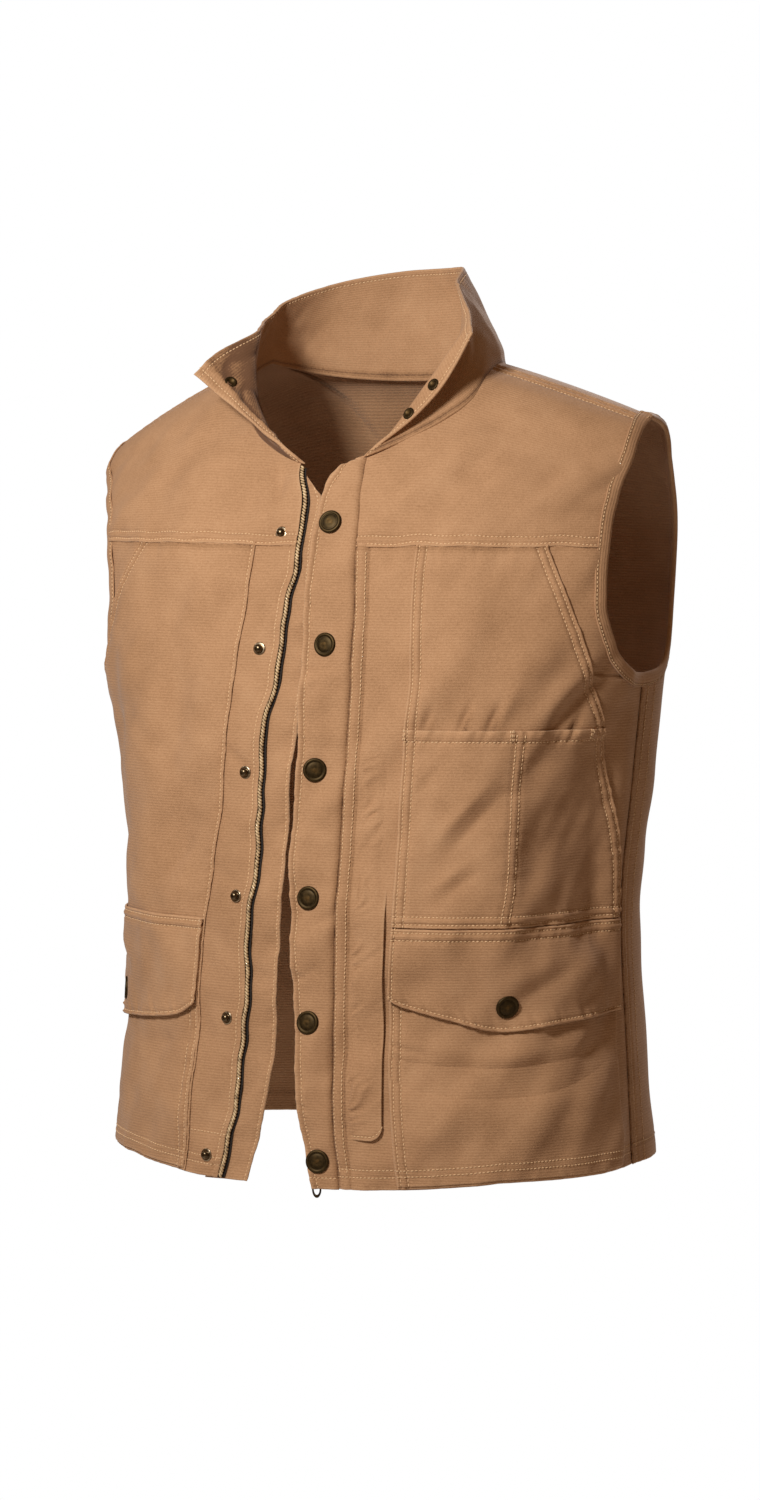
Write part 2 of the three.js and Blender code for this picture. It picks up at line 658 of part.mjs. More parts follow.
// Round hardware: turned profiles set on the cloth along its normal.
function turned(profile) {
  const points = profile.map(([radius, height]) => new THREE.Vector2(radius, height));
  return new THREE.LatheGeometry(points, roundSegments).rotateX(Math.PI / 2);
}
function placed(name, geometry, { point, normal }, offset, material) {
  const mesh = named(name, new THREE.Mesh(geometry, material));
  mesh.quaternion.setFromUnitVectors(new THREE.Vector3(0, 0, 1), normal);
  mesh.position.copy(point).addScaledVector(normal, offset);
  return mesh;
}
function capGeometry() {
  return turned([
    [0, 0],
    [cap.radius, 0],
    [cap.radius, cap.wall],
    [cap.radius - cap.rim, cap.height],
    [cap.ring, cap.height],
    [cap.ring - cap.rim, cap.groove],
    [0, cap.middle],
  ]);
}
function studGeometry() {
  const middle = stud.height - stud.ball;
  const underTurn = Math.asin((stud.flangeHeight - middle) / stud.ball);
  const ball = shares(stud.rings).map((t) => {
    const turn = mix(underTurn, Math.PI / 2, t);
    const radius = t < 1 ? stud.ball * Math.cos(turn) : 0;
    return [radius, middle + stud.ball * Math.sin(turn)];
  });
  const foot = [
    [0, 0],
    [stud.flange, 0],
    [stud.flange, stud.flangeHeight],
  ];
  return turned([...foot, ...ball]);
}
function socketGeometry() {
  return turned([
    [0, 0],
    [socket.radius, 0],
    [socket.radius, socket.height],
    [socket.hole, socket.height],
    [socket.hole, socket.height / 2],
    [0, socket.height / 2],
  ]);
}
function hardware() {
  const flipped = ({ point, normal }) => ({ point, normal: normal.negate() });
  const inside = -layers.collar.inner + socket.gap;
  const onFlap = layers.flap.outer + cap.gap;
  const studPlace = onCollar(collarStud.turn, collarStud.up);
  return [
    ...snapCaps.map(({ around, level }, i) =>
      placed(`snap_cap_${i + 1}`, capGeometry(), onPlacket(around, level), cap.gap, materials.brass),
    ),
    ...snapStuds.map(({ around, level }, i) =>
      placed(`snap_stud_${i + 1}`, studGeometry(), onFront(around, level), stud.gap, materials.nickel),
    ),
    ...Object.entries(flapSnaps).map(([side, { around, level }]) =>
      placed(`flap_snap_${side}`, capGeometry(), onFront(around, level), onFlap, materials.brass),
    ),
    ...collarSockets.map(({ turn, up }, i) => {
      const place = flipped(onCollar(turn, up));
      return placed(`collar_socket_${i + 1}`, socketGeometry(), place, inside, materials.brass);
    }),
    placed("collar_stud", socketGeometry(), flipped(studPlace), inside, materials.brass),
  ];
}

const vest = new THREE.Group();
vest.add(...fronts(), ...yokes(), back(), ...armholeBands(), collar());
vest.add(placket(), ...zipHalves(), ...zipSlider(), ...overlays(), ...hardware());
export default vest;
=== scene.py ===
import bpy
import math
import numpy as np
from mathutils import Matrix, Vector


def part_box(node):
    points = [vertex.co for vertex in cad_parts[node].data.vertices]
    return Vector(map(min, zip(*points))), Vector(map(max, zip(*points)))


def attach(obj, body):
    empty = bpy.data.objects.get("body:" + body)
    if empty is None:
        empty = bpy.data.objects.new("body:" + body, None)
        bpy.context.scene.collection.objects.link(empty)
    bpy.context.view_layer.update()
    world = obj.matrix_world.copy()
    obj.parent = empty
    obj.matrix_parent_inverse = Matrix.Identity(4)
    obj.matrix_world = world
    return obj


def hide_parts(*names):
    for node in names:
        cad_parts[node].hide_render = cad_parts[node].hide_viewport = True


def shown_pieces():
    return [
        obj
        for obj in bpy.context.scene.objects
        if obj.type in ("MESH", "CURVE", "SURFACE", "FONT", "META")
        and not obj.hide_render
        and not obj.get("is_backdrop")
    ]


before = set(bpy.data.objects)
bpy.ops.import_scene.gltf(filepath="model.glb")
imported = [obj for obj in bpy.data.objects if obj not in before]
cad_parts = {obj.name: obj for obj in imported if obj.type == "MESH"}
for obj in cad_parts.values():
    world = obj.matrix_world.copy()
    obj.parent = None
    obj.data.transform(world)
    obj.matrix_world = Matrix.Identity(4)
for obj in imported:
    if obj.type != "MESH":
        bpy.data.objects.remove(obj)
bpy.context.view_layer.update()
mm = 0.001  # the tables below are in millimetres, the meshes in metres


# Small tools for tables, curves and noise

def columns(names, rows):
    return dict(zip(names.split(), np.array(rows, float).T))


# monotone cubic through one column of a table, by the table's first column
def along(table, column, at):
    x, y = next(iter(table.values())), table[column]
    at = np.clip(at, x[0], x[-1])
    k = np.clip(np.searchsorted(x, at) - 1, 0, len(x) - 2)
    rise = np.diff(y) / np.diff(x)
    a, b = rise[:-1], rise[1:]
    inner = np.where(a * b > 0, 2 * a * b / np.where(a * b > 0, a + b, 1), 0)
    slope = np.concatenate([rise[:1], inner, rise[-1:]])
    span = x[k + 1] - x[k]
    t = (at - x[k]) / span
    h = t * t * (3 - 2 * t)
    return y[k] * (1 - h) + y[k + 1] * h + t * (1 - t) * span * ((1 - t) * slope[k] - t * slope[k + 1])


def smoothstep(low, high, x):
    t = np.clip((x - low) / (high - low), 0, 1)
    return t * t * (3 - 2 * t)


def hill(x, width):
    return np.exp(-(x / width) ** 2)


def unit(vectors):
    return vectors / np.maximum(np.linalg.norm(vectors, axis=-1, keepdims=True), 1e-9)


# distance of each point from the start of its line
def arcLength(points):
    return np.concatenate([[0], np.cumsum(np.linalg.norm(np.diff(points, axis=0), axis=1))])


# uneven ripple along a line: a few sines of set lengths and seeded phases, about -1 to 1
def ripple(s, seed, lengths=(8, 11.5, 17, 31)):
    phase = np.random.default_rng(seed).uniform(0, 2 * np.pi, len(lengths))
    return sum(np.sin(2 * np.pi * s / size + p) for size, p in zip(lengths, phase)) / len(lengths) * 1.5


# soft random field: cosine waves of about one length in seeded directions, about -1 to 1
def rumple(across, up, size, seed, count=16):
    draw = np.random.default_rng(seed)
    turn = draw.uniform(0, np.pi, count)
    length = size * draw.uniform(0.7, 1.5, count)
    phase = draw.uniform(0, 2 * np.pi, count)
    waves = zip(turn, length, phase)
    total = sum(np.cos(2 * np.pi * (across * np.cos(t) + up * np.sin(t)) / l + p) for t, l, p in waves)
    return total / math.sqrt(2 * count)


# The worn form: a superellipse at each level, closing towards level 0 in the line of the shoulders

sections = columns("level halfWidth front back squareFront squareBack shift", [
    [-690, 226, 170, 158, 2.5, 2.5, 4],
    [-560, 217, 169, 150, 2.5, 2.5, 6],
    [-440, 209, 166, 145, 2.45, 2.5, 8],
    [-330, 222, 160, 148, 2.4, 2.6, 5],
    [-240, 234, 150, 150, 2.4, 2.8, 2],
    [-150, 243, 131, 144, 2.4, 3.0, 0],
    [-90, 247, 106, 124, 2.45, 2.9, 0],
    [-45, 246, 76, 97, 2.8, 3.1, 0],
    [-14, 244, 42, 67, 4, 4, 0],
    [-5, 243, 20, 40, 4.5, 4.5, 0],
    [0, 243, 0, 0, 4.5, 4.5, 0],
])
shoulder = dict(neckHalf=100, tipHalf=243, blend=150, leftDrop=46, leftPower=1.12,
                rightDrop=70, rightPower=1.3)
neck = dict(frontDepth=84, frontRound=1.333, backDepth=12, clear=3, cornerDrop=24, cornerWidth=7)
neckSpread = dict(size=18, turn=112, width=26)
hem = dict(level=-653, rise=9, riseAt=174, rows=(10, 16), ribbonLevel=-612)
seams = dict(yoke=-148, shoulder=2.4)


# x = W |sin|^(2/n), y = D |cos|^(2/n); a level above 0 has gone over the shoulder line to the other side
def bareForm(angle, level):
    angle, level = np.broadcast_arrays(np.asarray(angle, float), np.asarray(level, float))
    turn = np.radians(np.where(level > 0, 180 - angle, angle))
    level = -np.abs(level)
    s, c = np.sin(turn), np.cos(turn)
    power = 2 / np.where(c > 0, along(sections, "squareFront", level), along(sections, "squareBack", level))
    depth = np.where(c > 0, along(sections, "front", level), along(sections, "back", level))
    x = along(sections, "halfWidth", level) * np.sign(s) * np.abs(s) ** power
    y = -depth * np.sign(c) * np.abs(c) ** power
    out = np.maximum(0, (np.abs(x) - shoulder["neckHalf"]) / (shoulder["tipHalf"] - shoulder["neckHalf"]))
    leftFall = shoulder["leftDrop"] * out ** shoulder["leftPower"]
    rightFall = shoulder["rightDrop"] * out ** shoulder["rightPower"]
    fall = np.where(x > 0, leftFall, rightFall) * smoothstep(-shoulder["blend"], 0, level)
    return np.stack([x + along(sections, "shift", level), y, level - fall], axis=-1)


# outward normal: the cross product of small steps round and up
def formNormal(angle, level, turn=0.8, step=2):
    across = bareForm(angle + turn, level) - bareForm(angle - turn, level)
    upwards = bareForm(angle, level + step) - bareForm(angle, level - step)
    return unit(np.cross(across, upwards))


# arc length round each level from the centre front, and its inverse, as tables
girth = dict(low=-700, step=2, reach=560)
girthLevels = np.arange(girth["low"], 1, girth["step"], float)
girthAngles = np.linspace(-180, 180, 721)
girthPoints = bareForm(girthAngles[None, :], girthLevels[:, None])
girthSteps = np.linalg.norm(np.diff(girthPoints, axis=1), axis=-1)
girthSums = np.concatenate([np.zeros((len(girthLevels), 1)), np.cumsum(girthSteps, axis=1)], axis=1)
aroundTable = girthSums - girthSums[:, len(girthAngles) // 2][:, None]
aroundSteps = np.arange(-girth["reach"], girth["reach"] + 1, girth["step"], float)
angleTable = np.stack([np.interp(aroundSteps, row, girthAngles) for row in aroundTable])


def lookUp(values, level, low, step, at):
    level, at = np.broadcast_arrays(np.asarray(level, float), np.asarray(at, float))
    i = np.clip((-np.abs(level) - girth["low"]) / girth["step"], 0, values.shape[0] - 1.001)
    j = np.clip((at - low) / step, 0, values.shape[1] - 1.001)
    i0, j0 = i.astype(int), j.astype(int)
    fi, fj = i - i0, j - j0
    first = values[i0, j0] * (1 - fj) + values[i0, j0 + 1] * fj
    second = values[i0 + 1, j0] * (1 - fj) + values[i0 + 1, j0 + 1] * fj
    return first * (1 - fi) + second * fi


def angleOf(around, level):
    return lookUp(angleTable, level, -girth["reach"], girth["step"], around)


def aroundOf(angle, level):
    return lookUp(aroundTable, level, -180, girthAngles[1] - girthAngles[0], angle)


def angleOfX(x, level):
    share = (x - along(sections, "shift", level)) / along(sections, "halfWidth", level)
    power = along(sections, "squareFront", level) / 2
    return np.degrees(np.arcsin(np.sign(share) * np.abs(share) ** power))


def hemAt(around):
    return hem["level"] + hem["rise"] * np.minimum(1, (around / hem["riseAt"]) ** 2)


# how far the neckline spreads under the open left end of the collar, by the turn round the neck
def spread(turn):
    return neckSpread["size"] * hill(turn - neckSpread["turn"], neckSpread["width"])


# Folds that all layers of the front share: place, half sizes, lean from the upright and height. The last
# column is 2 for a round ridge, down to 1 for a sharp one

folds = columns("around level halfLength halfWidth lean height round", [
    [252, -274, 56, 34, -14, -4, 2],
    [206, -368, 70, 36, 8, -3, 2],
    [178, -530, 120, 42, 90, -5, 2],
    [178, -606, 100, 40, 90, 3, 2],
    [-172, -250, 85, 34, 6, 4, 2],
    [-112, -412, 60, 36, 32, -4, 2],
    [-38, -112, 40, 24, 8, -3, 2],
    [12, -640, 80, 34, 0, -7, 2],
    [-33, -106, 34, 5, -16, -3.2, 1.3],
    [-46, -112, 36, 9, -12, 2.2, 2],
    [232, -268, 34, 9, 42, -5.6, 1.4],
    [217, -262, 40, 9, 42, 3.2, 1.8],
    [250, -262, 40, 13, 40, 2.2, 2],
    [190, -236, 60, 18, 34, 2.2, 2],
    [160, -222, 56, 15, 38, -2.0, 2],
    [128, -238, 50, 16, 30, 1.6, 2],
    [141, -352, 27, 5.5, 42, 2.8, 1.5],
    [150, -361, 27, 6, 42, -3.0, 1.4],
    [130, -403, 18, 4.5, 50, 2.2, 1.5],
    [137, -410, 18, 5, 50, -2.3, 1.4],
    [112, -330, 22, 6, 40, -2.0, 1.5],
    [104, -380, 26, 8, 24, 1.6, 2],
    [192, -312, 32, 8, 35, 2.4, 1.8],
    [226, -404, 44, 16, 30, -2.6, 2],
    [205, -420, 40, 13, 44, 2.4, 2],
    [180, -436, 120, 42, 90, 8.0, 2],
    [178, -528, 110, 42, 90, -5.0, 2],
    [-120, -404, 26, 8, 46, -3.6, 1.5],
    [-107, -396, 26, 9, 46, 2.0, 2],
    [-150, -330, 60, 19, 12, 2.6, 2],
    [-205, -300, 70, 18, 4, -3.0, 2],
    [-118, -268, 60, 17, 10, -2.4, 2],
    [-142, -556, 30, 9, 62, -2.8, 1.5],
    [-150, -600, 40, 13, 50, 2.4, 2],
    [-58, -413, 12, 3, 106, -2.2, 1.3],
    [-53, -316, 14, 3.5, 122, -2.2, 1.3],
    [-40, -240, 12, 4, 150, -1.6, 1.4],
    [64, -120, 26, 7, 54, -2.4, 1.4],
    [79, -108, 30, 10, 52, 2.0, 2],
    [120, -610, 40, 13, 30, 2.4, 2],
    [150, -600, 44, 12, 26, -2.2, 2],
    [230, -596, 50, 15, 40, -3.0, 2],
    [-90, -196, 40, 13, 40, 1.8, 2],
    [-110, -110, 46, 15, 30, 1.8, 2],
    [130, -78, 44, 13, 46, -2.2, 2],
    [242, -215, 78, 62, 6, 10, 2],
    [-150, -436, 64, 42, 90, 5.0, 2],
    [-150, -530, 64, 42, 90, -6.0, 2],
    [-175, -650, 130, 60, 90, -4, 2],
    [112, -282, 9, 2.4, 22, -2.4, 1.4],
    [141, -281, 12, 2.8, 24, -4.2, 1.3],
    [163, -282, 13, 3.0, 24, -4.4, 1.3],
    [172, -276, 20, 5.0, 26, 2.0, 1.8],
    [231, -288, 10, 2.6, 24, -3.4, 1.3],
])
turnAway = dict(depth=8, depthBelow=9, reach=26, soft=3, after=4, slant=20, slantAt=-288, slantReach=20,
                top=(-283, -318), bottom=(-490, -445), side=(300, 262), deepen=(-300, -445))
sideFade = 36  # folds die away over this distance from the side seams, where front and back meet


# each fold is height * exp(-lengthwise^2 - |across|^round), on turned axes
def foldSum(table, around, level):
    total = np.zeros(np.broadcast(around, level).shape)
    for a, l, halfLength, halfWidth, lean, height, sharp in zip(*table.values()):
        s, c = math.sin(math.radians(lean)), math.cos(math.radians(lean))
        da, dl = around - a, level - l
        lengthwise = (dl * c + da * s) / halfLength
        across = np.abs(da * c - dl * s) / halfWidth
        total += height * np.exp(-lengthwise ** 2 - across ** sharp)
    return total


wrinkles = [(170, 1.8, 3), (64, 1.3, 5), (24, 0.42, 7)]  # size, height, seed
drag = dict(size=40, height=1.7, lean=38, stretch=3.6, seed=9)
shoulderFade = -60
chestDivider = columns("level around", [
    [-445, 166],
    [-406, 173],
    [-367, 176],
    [-328, 179],
    [-290, 182],
])


# the chest pocket bends at its divider: beyond it the cloth falls away by depth (1 - e^(-distance/reach))
def fallAway(around, level):
    start = along(chestDivider, "around", level) + turnAway["after"]
    start = start + turnAway["slant"] * hill(level - turnAway["slantAt"], turnAway["slantReach"])
    past = turnAway["soft"] * np.logaddexp(0, (around - start) / turnAway["soft"])
    ends = smoothstep(*turnAway["top"], level) * smoothstep(*turnAway["bottom"], level)
    ends = ends * smoothstep(*turnAway["side"], around)
    depth = turnAway["depth"] + turnAway["depthBelow"] * smoothstep(*turnAway["deepen"], level)
    return -depth * (1 - np.exp(-past / turnAway["reach"])) * ends


# shared height of the cloth over the form: folds, and soft and slanted wrinkles that fade at the shoulders
def drape(around, level):
    fade = smoothstep(0, shoulderFade, level)
    soft = sum(height * rumple(around, level, size, seed) for size, height, seed in wrinkles)
    s, c = math.sin(math.radians(drag["lean"])), math.cos(math.radians(drag["lean"]))
    lengthwise, across = (level * c + around * s) / drag["stretch"], around * c - level * s
    soft += drag["height"] * rumple(across, lengthwise, drag["size"], drag["seed"])
    total = foldSum(folds, around, level) + fallAway(around, level) + soft * fade
    return total * smoothstep(0, sideFade, np.abs(aroundOf(90 * np.sign(around), level)) - np.abs(around))


# Grids between edges

# stops along one direction: fixed distances from each edge, and even steps between them
def stops(near, far, length, step):
    near, far = np.array(near, float), np.array(far, float)[::-1]
    count = max(2, int(round((length - near[-1] - far[0]) / step)))
    t = np.linspace(0, 1, count + 1)[1:-1]
    offset = np.concatenate([near, near[-1] * (1 - t) - far[0] * t, -far])
    share = np.concatenate([np.zeros(len(near)), t, np.ones(len(far))])
    return offset, share


plainEdge = (0, 0.1, 0.35, 0.75, 1.5, 3)
singleEdge = (0, 0.1, 0.35, 0.75, 1.5, 2.3, 3, 3.7, 5)
doubleEdge = (0, 0.1, 0.35, 0.75, 1.5, 2.3, 3, 3.7, 5.5, 7.6, 8.3, 9, 9.7, 11)
hemEdge = (0, 0.1, 0.35, 0.75, 1.5, 3, 5.5, 8, 9.2, 10, 10.8, 13, 15.2, 16, 16.8, 18.5)
foldedEdge = (0, 0.12, 0.45, 0.95, 1.8, 3, 4.2, 5, 5.8, 7.2)


# grid of (around, level) between four edge functions, with the distance of each point from each edge
def layOut(bottom, top, near, far, step, edges, toLevel=None):
    toLevel = toLevel or (lambda height: height)
    middle = 0.5 * (bottom(0.0) + top(0.0))
    width = abs(float(far(toLevel(middle)) - near(toLevel(middle))))
    height = float(top(0.0) - bottom(0.0))
    colOffset, colShare = stops(edges["near"], edges["far"], width, step)
    rowOffset, rowShare = (a[:, None] for a in stops(edges["bottom"], edges["top"], height, step))
    up = bottom(0.0) + rowOffset + rowShare * height
    for _ in range(4):
        n, f = near(toLevel(up)), far(toLevel(up))
        around = n + np.sign(f - n) * colOffset + colShare * (f - n)
        b, t = bottom(around), top(around)
        up = b + rowOffset + rowShare * (t - b)
    level = toLevel(up)
    fromNear, fromFar = np.abs(around - near(level)), np.abs(far(level) - around)
    gaps = dict(near=fromNear, far=fromFar, bottom=up - b, top=t - up)
    return dict(around=around, level=level, up=up, gaps=gaps, edges=edges)


# share of the full thickness near the edges: a quarter round
def roundOff(gaps, radius):
    nearest = np.minimum.reduce([np.broadcast_to(g, gaps["near"].shape) for g in gaps.values()])
    return np.sqrt(1 - (1 - np.clip(nearest / radius, 0, 1)) ** 2)


relief = dict(groove=2.0, grooveWidth=1.1, lip=0.6, ridge=0.7, pucker=1.25, slant=0.5, shadeWidth=1.2)
finePucker = dict(height=0.6, reach=5, slant=0.7, seedStep=500, lengths=(5.5, 7, 9.5))


# sewn edge: a pressed groove at each row of stitches, a fuller strip before and between them, and puckers
# that die away inwards
def sewnEdge(grid, edge, rows, seed, depth=0.45, pucker=0.35, reach=11):
    d = grid["gaps"][edge]
    s = grid["up"] if edge in ("near", "far") else grid["around"]
    height = -relief["groove"] * depth * sum(hill(d - row, relief["grooveWidth"]) for row in rows)
    height += relief["lip"] * hill(d - rows[0] / 2, max(rows[0] / 3, 1))
    height += relief["ridge"] * sum(hill(d - (a + b) / 2, (b - a) / 3) for a, b in zip(rows, rows[1:]))
    fine = ripple(s + finePucker["slant"] * d, seed + finePucker["seedStep"], finePucker["lengths"])
    fine = finePucker["height"] * hill(d - rows[-1], finePucker["reach"]) * fine
    coarse = relief["pucker"] * hill(d, reach) * ripple(s + relief["slant"] * d, seed)
    return height + pucker * (coarse + fine)


# painted shade along rows of stitches, in their pressed grooves
def paintedSeamShade(grid, edge, rows):
    return sum(hill(grid["gaps"][edge] - row, relief["shadeWidth"]) for row in rows)


# Meshes

def newPiece(name, points, quads, triangles=None, uv=None, shades=None):
    mesh = bpy.data.meshes.new(name)
    triangles = np.zeros((0, 3), int) if triangles is None else triangles
    loops = np.concatenate([quads.ravel(), triangles.ravel()]).astype(np.int32)
    starts = np.concatenate([4 * np.arange(len(quads)), 4 * len(quads) + 3 * np.arange(len(triangles))])
    mesh.vertices.add(len(points))
    mesh.vertices.foreach_set("co", (points * mm).astype(np.float32).ravel())
    mesh.loops.add(len(loops))
    mesh.loops.foreach_set("vertex_index", loops)
    mesh.polygons.add(len(starts))
    mesh.polygons.foreach_set("loop_start", starts.astype(np.int32))
    mesh.polygons.foreach_set("use_smooth", np.ones(len(starts), bool))
    if uv is not None:
        mesh.uv_layers.new(name="cloth").data.foreach_set("uv", uv[loops].astype(np.float32).ravel())
    for shade, values in (shades or {}).items():
        mesh.attributes.new(shade, "FLOAT", "POINT").data.foreach_set("value", values.astype(np.float32))
    mesh.update(calc_edges=True)
    piece = bpy.data.objects.new(name, mesh)
    bpy.context.scene.collection.objects.link(piece)
    return piece


def cells(rows, cols, ringRows=False, ringCols=False):
    i = np.arange(rows if ringRows else rows - 1)[:, None]
    j = np.arange(cols if ringCols else cols - 1)[None, :]
    at = lambda a, b: (a % rows) * cols + b % cols
    return np.stack([at(i, j), at(i, j + 1), at(i + 1, j + 1), at(i + 1, j)], axis=-1).reshape(-1, 4)


# faces of a stack of rings that is closed by one pole before the first ring and one after the last
def poledFaces(rings, sides):
    k = np.arange(sides)
    after, top = (k + 1) % sides, (rings - 1) * sides
    first = np.stack([after, k, np.full(sides, rings * sides)], axis=-1)
    last = np.stack([top + k, top + after, np.full(sides, rings * sides + 1)], axis=-1)
    return cells(rings, sides, ringCols=True), np.concatenate([first, last])


# closed cloth from an outer and an inner grid that share their border
def closedSheet(name, outer, inner, normal, uv, shades):
    rows, cols = outer.shape[:2]
    index = np.arange(rows * cols).reshape(rows, cols)
    border = np.ones((rows, cols), bool)
    border[1:-1, 1:-1] = False
    inside = np.where(border, index, index + rows * cols)
    quads = cells(rows, cols)
    i, j = rows // 2, cols // 2
    facing = np.dot(np.cross(outer[i, j + 1] - outer[i, j], outer[i + 1, j] - outer[i, j]), normal[i, j]) > 0
    outerQuads = quads if facing else quads[:, ::-1]
    innerQuads = inside.ravel()[outerQuads[:, ::-1]]
    faces = np.concatenate([outerQuads, innerQuads])
    used, faces = np.unique(faces, return_inverse=True)
    twice = lambda values: np.concatenate([values.reshape(rows * cols, -1)] * 2)[used]
    points = np.concatenate([outer.reshape(-1, 3), inner.reshape(-1, 3)])[used]
    both = {key: twice(value).ravel() for key, value in shades.items()}
    return newPiece(name, points, faces.reshape(-1, 4), uv=twice(uv), shades=both)


# copies of one small shape along lines of (points, normals): x along the line, y across it, z outwards
def repeatAlong(lines, pitch, shape):
    places, frames = [], []
    for points, normals in lines:
        s = arcLength(points)
        at = np.arange(pitch / 2, s[-1], pitch)
        read = lambda values, where: np.stack([np.interp(where, s, v) for v in values.T], axis=-1)
        forward = unit(read(points, at + pitch / 3) - read(points, at - pitch / 3))
        sideways = unit(np.cross(read(normals, at), forward))
        frames.append(np.stack([forward, sideways, np.cross(forward, sideways)], axis=1))
        places.append(read(points, at))
    places, frames = np.concatenate(places), np.concatenate(frames)
    local, quads, triangles = shape
    points = places[:, None, :] + np.einsum("vk,nkc->nvc", local, frames)
    shift = (np.arange(len(places)) * len(local))[:, None, None]
    every = lambda faces: (faces[None] + shift).reshape(-1, faces.shape[1])
    return points.reshape(-1, 3), every(quads), every(triangles)


# closed spindle: rings at stations along x, with a pole at each end
def spindle(stations, sides):
    stations = np.array(stations, float)
    turn = 2 * np.pi * np.arange(sides) / sides
    x, width, height, lift = (stations[:, k, None] for k in range(4))
    ring = np.stack([x + 0 * turn, width * np.cos(turn), lift + height * np.sin(turn)], axis=-1)
    body = ring[1:-1].reshape(-1, 3)
    poles = np.stack([stations[0, [0, 0, 3]], stations[-1, [0, 0, 3]]])
    poles[:, 1] = 0
    return np.concatenate([body, poles]), *poledFaces(len(stations) - 2, sides)


# Finishes

# a shader socket with arithmetic: each operator adds a Math node
class Wire:
    def __init__(self, finish, socket):
        self.finish, self.socket = finish, socket

    def math(self, operation, *values):
        return self.finish.node("ShaderNodeMath", dict(operation=operation), dict(enumerate(values)))

    def __add__(self, other):
        return self.math("ADD", self, other)

    def __sub__(self, other):
        return self.math("SUBTRACT", self, other)

    def __rsub__(self, other):
        return self.math("SUBTRACT", other, self)

    def __mul__(self, other):
        return self.math("MULTIPLY", self, other)

    __radd__, __rmul__ = __add__, __mul__


class Finish:
    def __init__(self, name, **constants):
        self.material = bpy.data.materials.new(name)
        self.material.use_nodes = True
        self.tree = self.material.node_tree
        self.shader = self.tree.nodes["Principled BSDF"]
        self.set(**{key.replace("_", " "): value for key, value in constants.items()})

    # any node: settings first, then the values or links of its sockets
    def node(self, kind, settings=None, inputs=None, output=0):
        made = self.tree.nodes.new(kind)
        for key, value in (settings or {}).items():
            if key == "stops":
                self.ramp(made.color_ramp, value)
            else:
                setattr(made, key, value)
        self.plug(made, inputs or {})
        return Wire(self, made.outputs[output])

    def ramp(self, ramp, stops):
        while len(ramp.elements) < len(stops):
            ramp.elements.new(1)
        for element, (place, colour) in zip(ramp.elements, stops):
            element.position, element.color = place, (*colour, 1)

    def plug(self, node, inputs):
        for key, value in inputs.items():
            if isinstance(value, Wire):
                self.tree.links.new(value.socket, node.inputs[key])
            else:
                node.inputs[key].default_value = value

    def set(self, **sockets):
        self.plug(self.shader, sockets)

    def place(self, coordinates="Object"):
        return self.node("ShaderNodeTexCoord", None, None, coordinates)

    def noise(self, vector, scale, detail=2, rough=0.5):
        inputs = dict(Vector=vector, Scale=scale, Detail=detail, Roughness=rough)
        return self.node("ShaderNodeTexNoise", None, inputs)

    def stretch(self, vector, scale):
        return self.node("ShaderNodeMapping", None, dict(Vector=vector, Scale=scale))

    def shade(self, name):
        return self.node("ShaderNodeAttribute", dict(attribute_name=name), None, "Fac")

    # base colour from a tone, by a ramp of (place, colour)
    def tint(self, tone, stops):
        self.set(**{"Base Color": self.node("ShaderNodeValToRGB", dict(stops=stops), dict(Fac=tone))})
        return self.material


def linear(r, g, b):
    return tuple(((c / 255 + 0.055) / 1.055) ** 2.4 for c in (r, g, b))


duckColours = [(0.0, linear(98, 64, 37)), (0.3, linear(154, 113, 76)), (0.55, linear(174, 131, 93)),
               (0.95, linear(193, 153, 114))]
duckWeave = dict(warp=(150, 34, 1), weft=(34, 160, 1), ribs=14, speck=760, blotch=14, patch=45)
# tone weights: seam weighs the painted shade in grooves, creases and under lapped edges, edge the paler worn
# edges
duckTone = dict(grain=0.6, ribs=0.12, speck=0.2, blotch=0.42, patch=0.26, edge=0.22, seam=0.46)


# cotton duck: warp and weft streaks on the cloth's own UV, soft blotches, pale worn edges, painted shade in
# grooves
def duckFinish():
    duck = Finish("cotton_duck", Roughness=0.86, Sheen_Weight=0.12, Sheen_Roughness=0.5)
    uv = duck.place("UV")
    place = duck.place()
    warp = duck.noise(duck.stretch(uv, duckWeave["warp"]), 1, 1)
    weft = duck.noise(duck.stretch(uv, duckWeave["weft"]), 1, 1)
    bands = dict(wave_type="BANDS", bands_direction="Y")
    uneven = {"Vector": uv, "Scale": duckWeave["ribs"], "Distortion": 1.6, "Detail": 1.0, "Detail Scale": 3.0}
    ribs = duck.node("ShaderNodeTexWave", bands, uneven, "Fac")
    blotch = duck.noise(place, duckWeave["blotch"], 3, 0.6)
    patch = duck.noise(place, duckWeave["patch"], 2)
    speck = duck.noise(place, duckWeave["speck"], 0)
    grain = (warp + weft) * 0.5
    tone = 0.5 + (grain - 0.5) * duckTone["grain"] + (ribs - 0.5) * duckTone["ribs"]
    tone = tone + (speck - 0.5) * duckTone["speck"]
    tone = tone + (blotch - 0.5) * duckTone["blotch"] + (patch - 0.5) * duckTone["patch"]
    # the seam attribute paints shade into grooves and creases
    tone = tone + duck.shade("edge") * duckTone["edge"] - duck.shade("seam") * duckTone["seam"]
    bump = dict(Strength=0.45, Distance=0.0006, Height=grain + ribs * 0.5)
    duck.set(Normal=duck.node("ShaderNodeBump", None, bump))
    return duck.tint(tone, duckColours)


# thread: pale tan with a fine twist of light and dark
def threadFinish():
    thread = Finish("pale_thread", Roughness=0.7, Sheen_Weight=0.2)
    tones = [(0.3, linear(196, 156, 111)), (0.7, linear(224, 187, 143))]
    return thread.tint(thread.noise(thread.place(), 900, 1), tones)


# zip tape: nearly black, streaked along its weave; its strip beside the right teeth is partly a painted shadow
# line
def tapeFinish():
    tape = Finish("zip_tape_weave", Roughness=0.9)
    weave = tape.noise(tape.stretch(tape.place("UV"), (90, 160, 1)), 1, 1)
    return tape.tint(weave, [(0.3, linear(20, 15, 12)), (0.75, linear(46, 36, 28))])
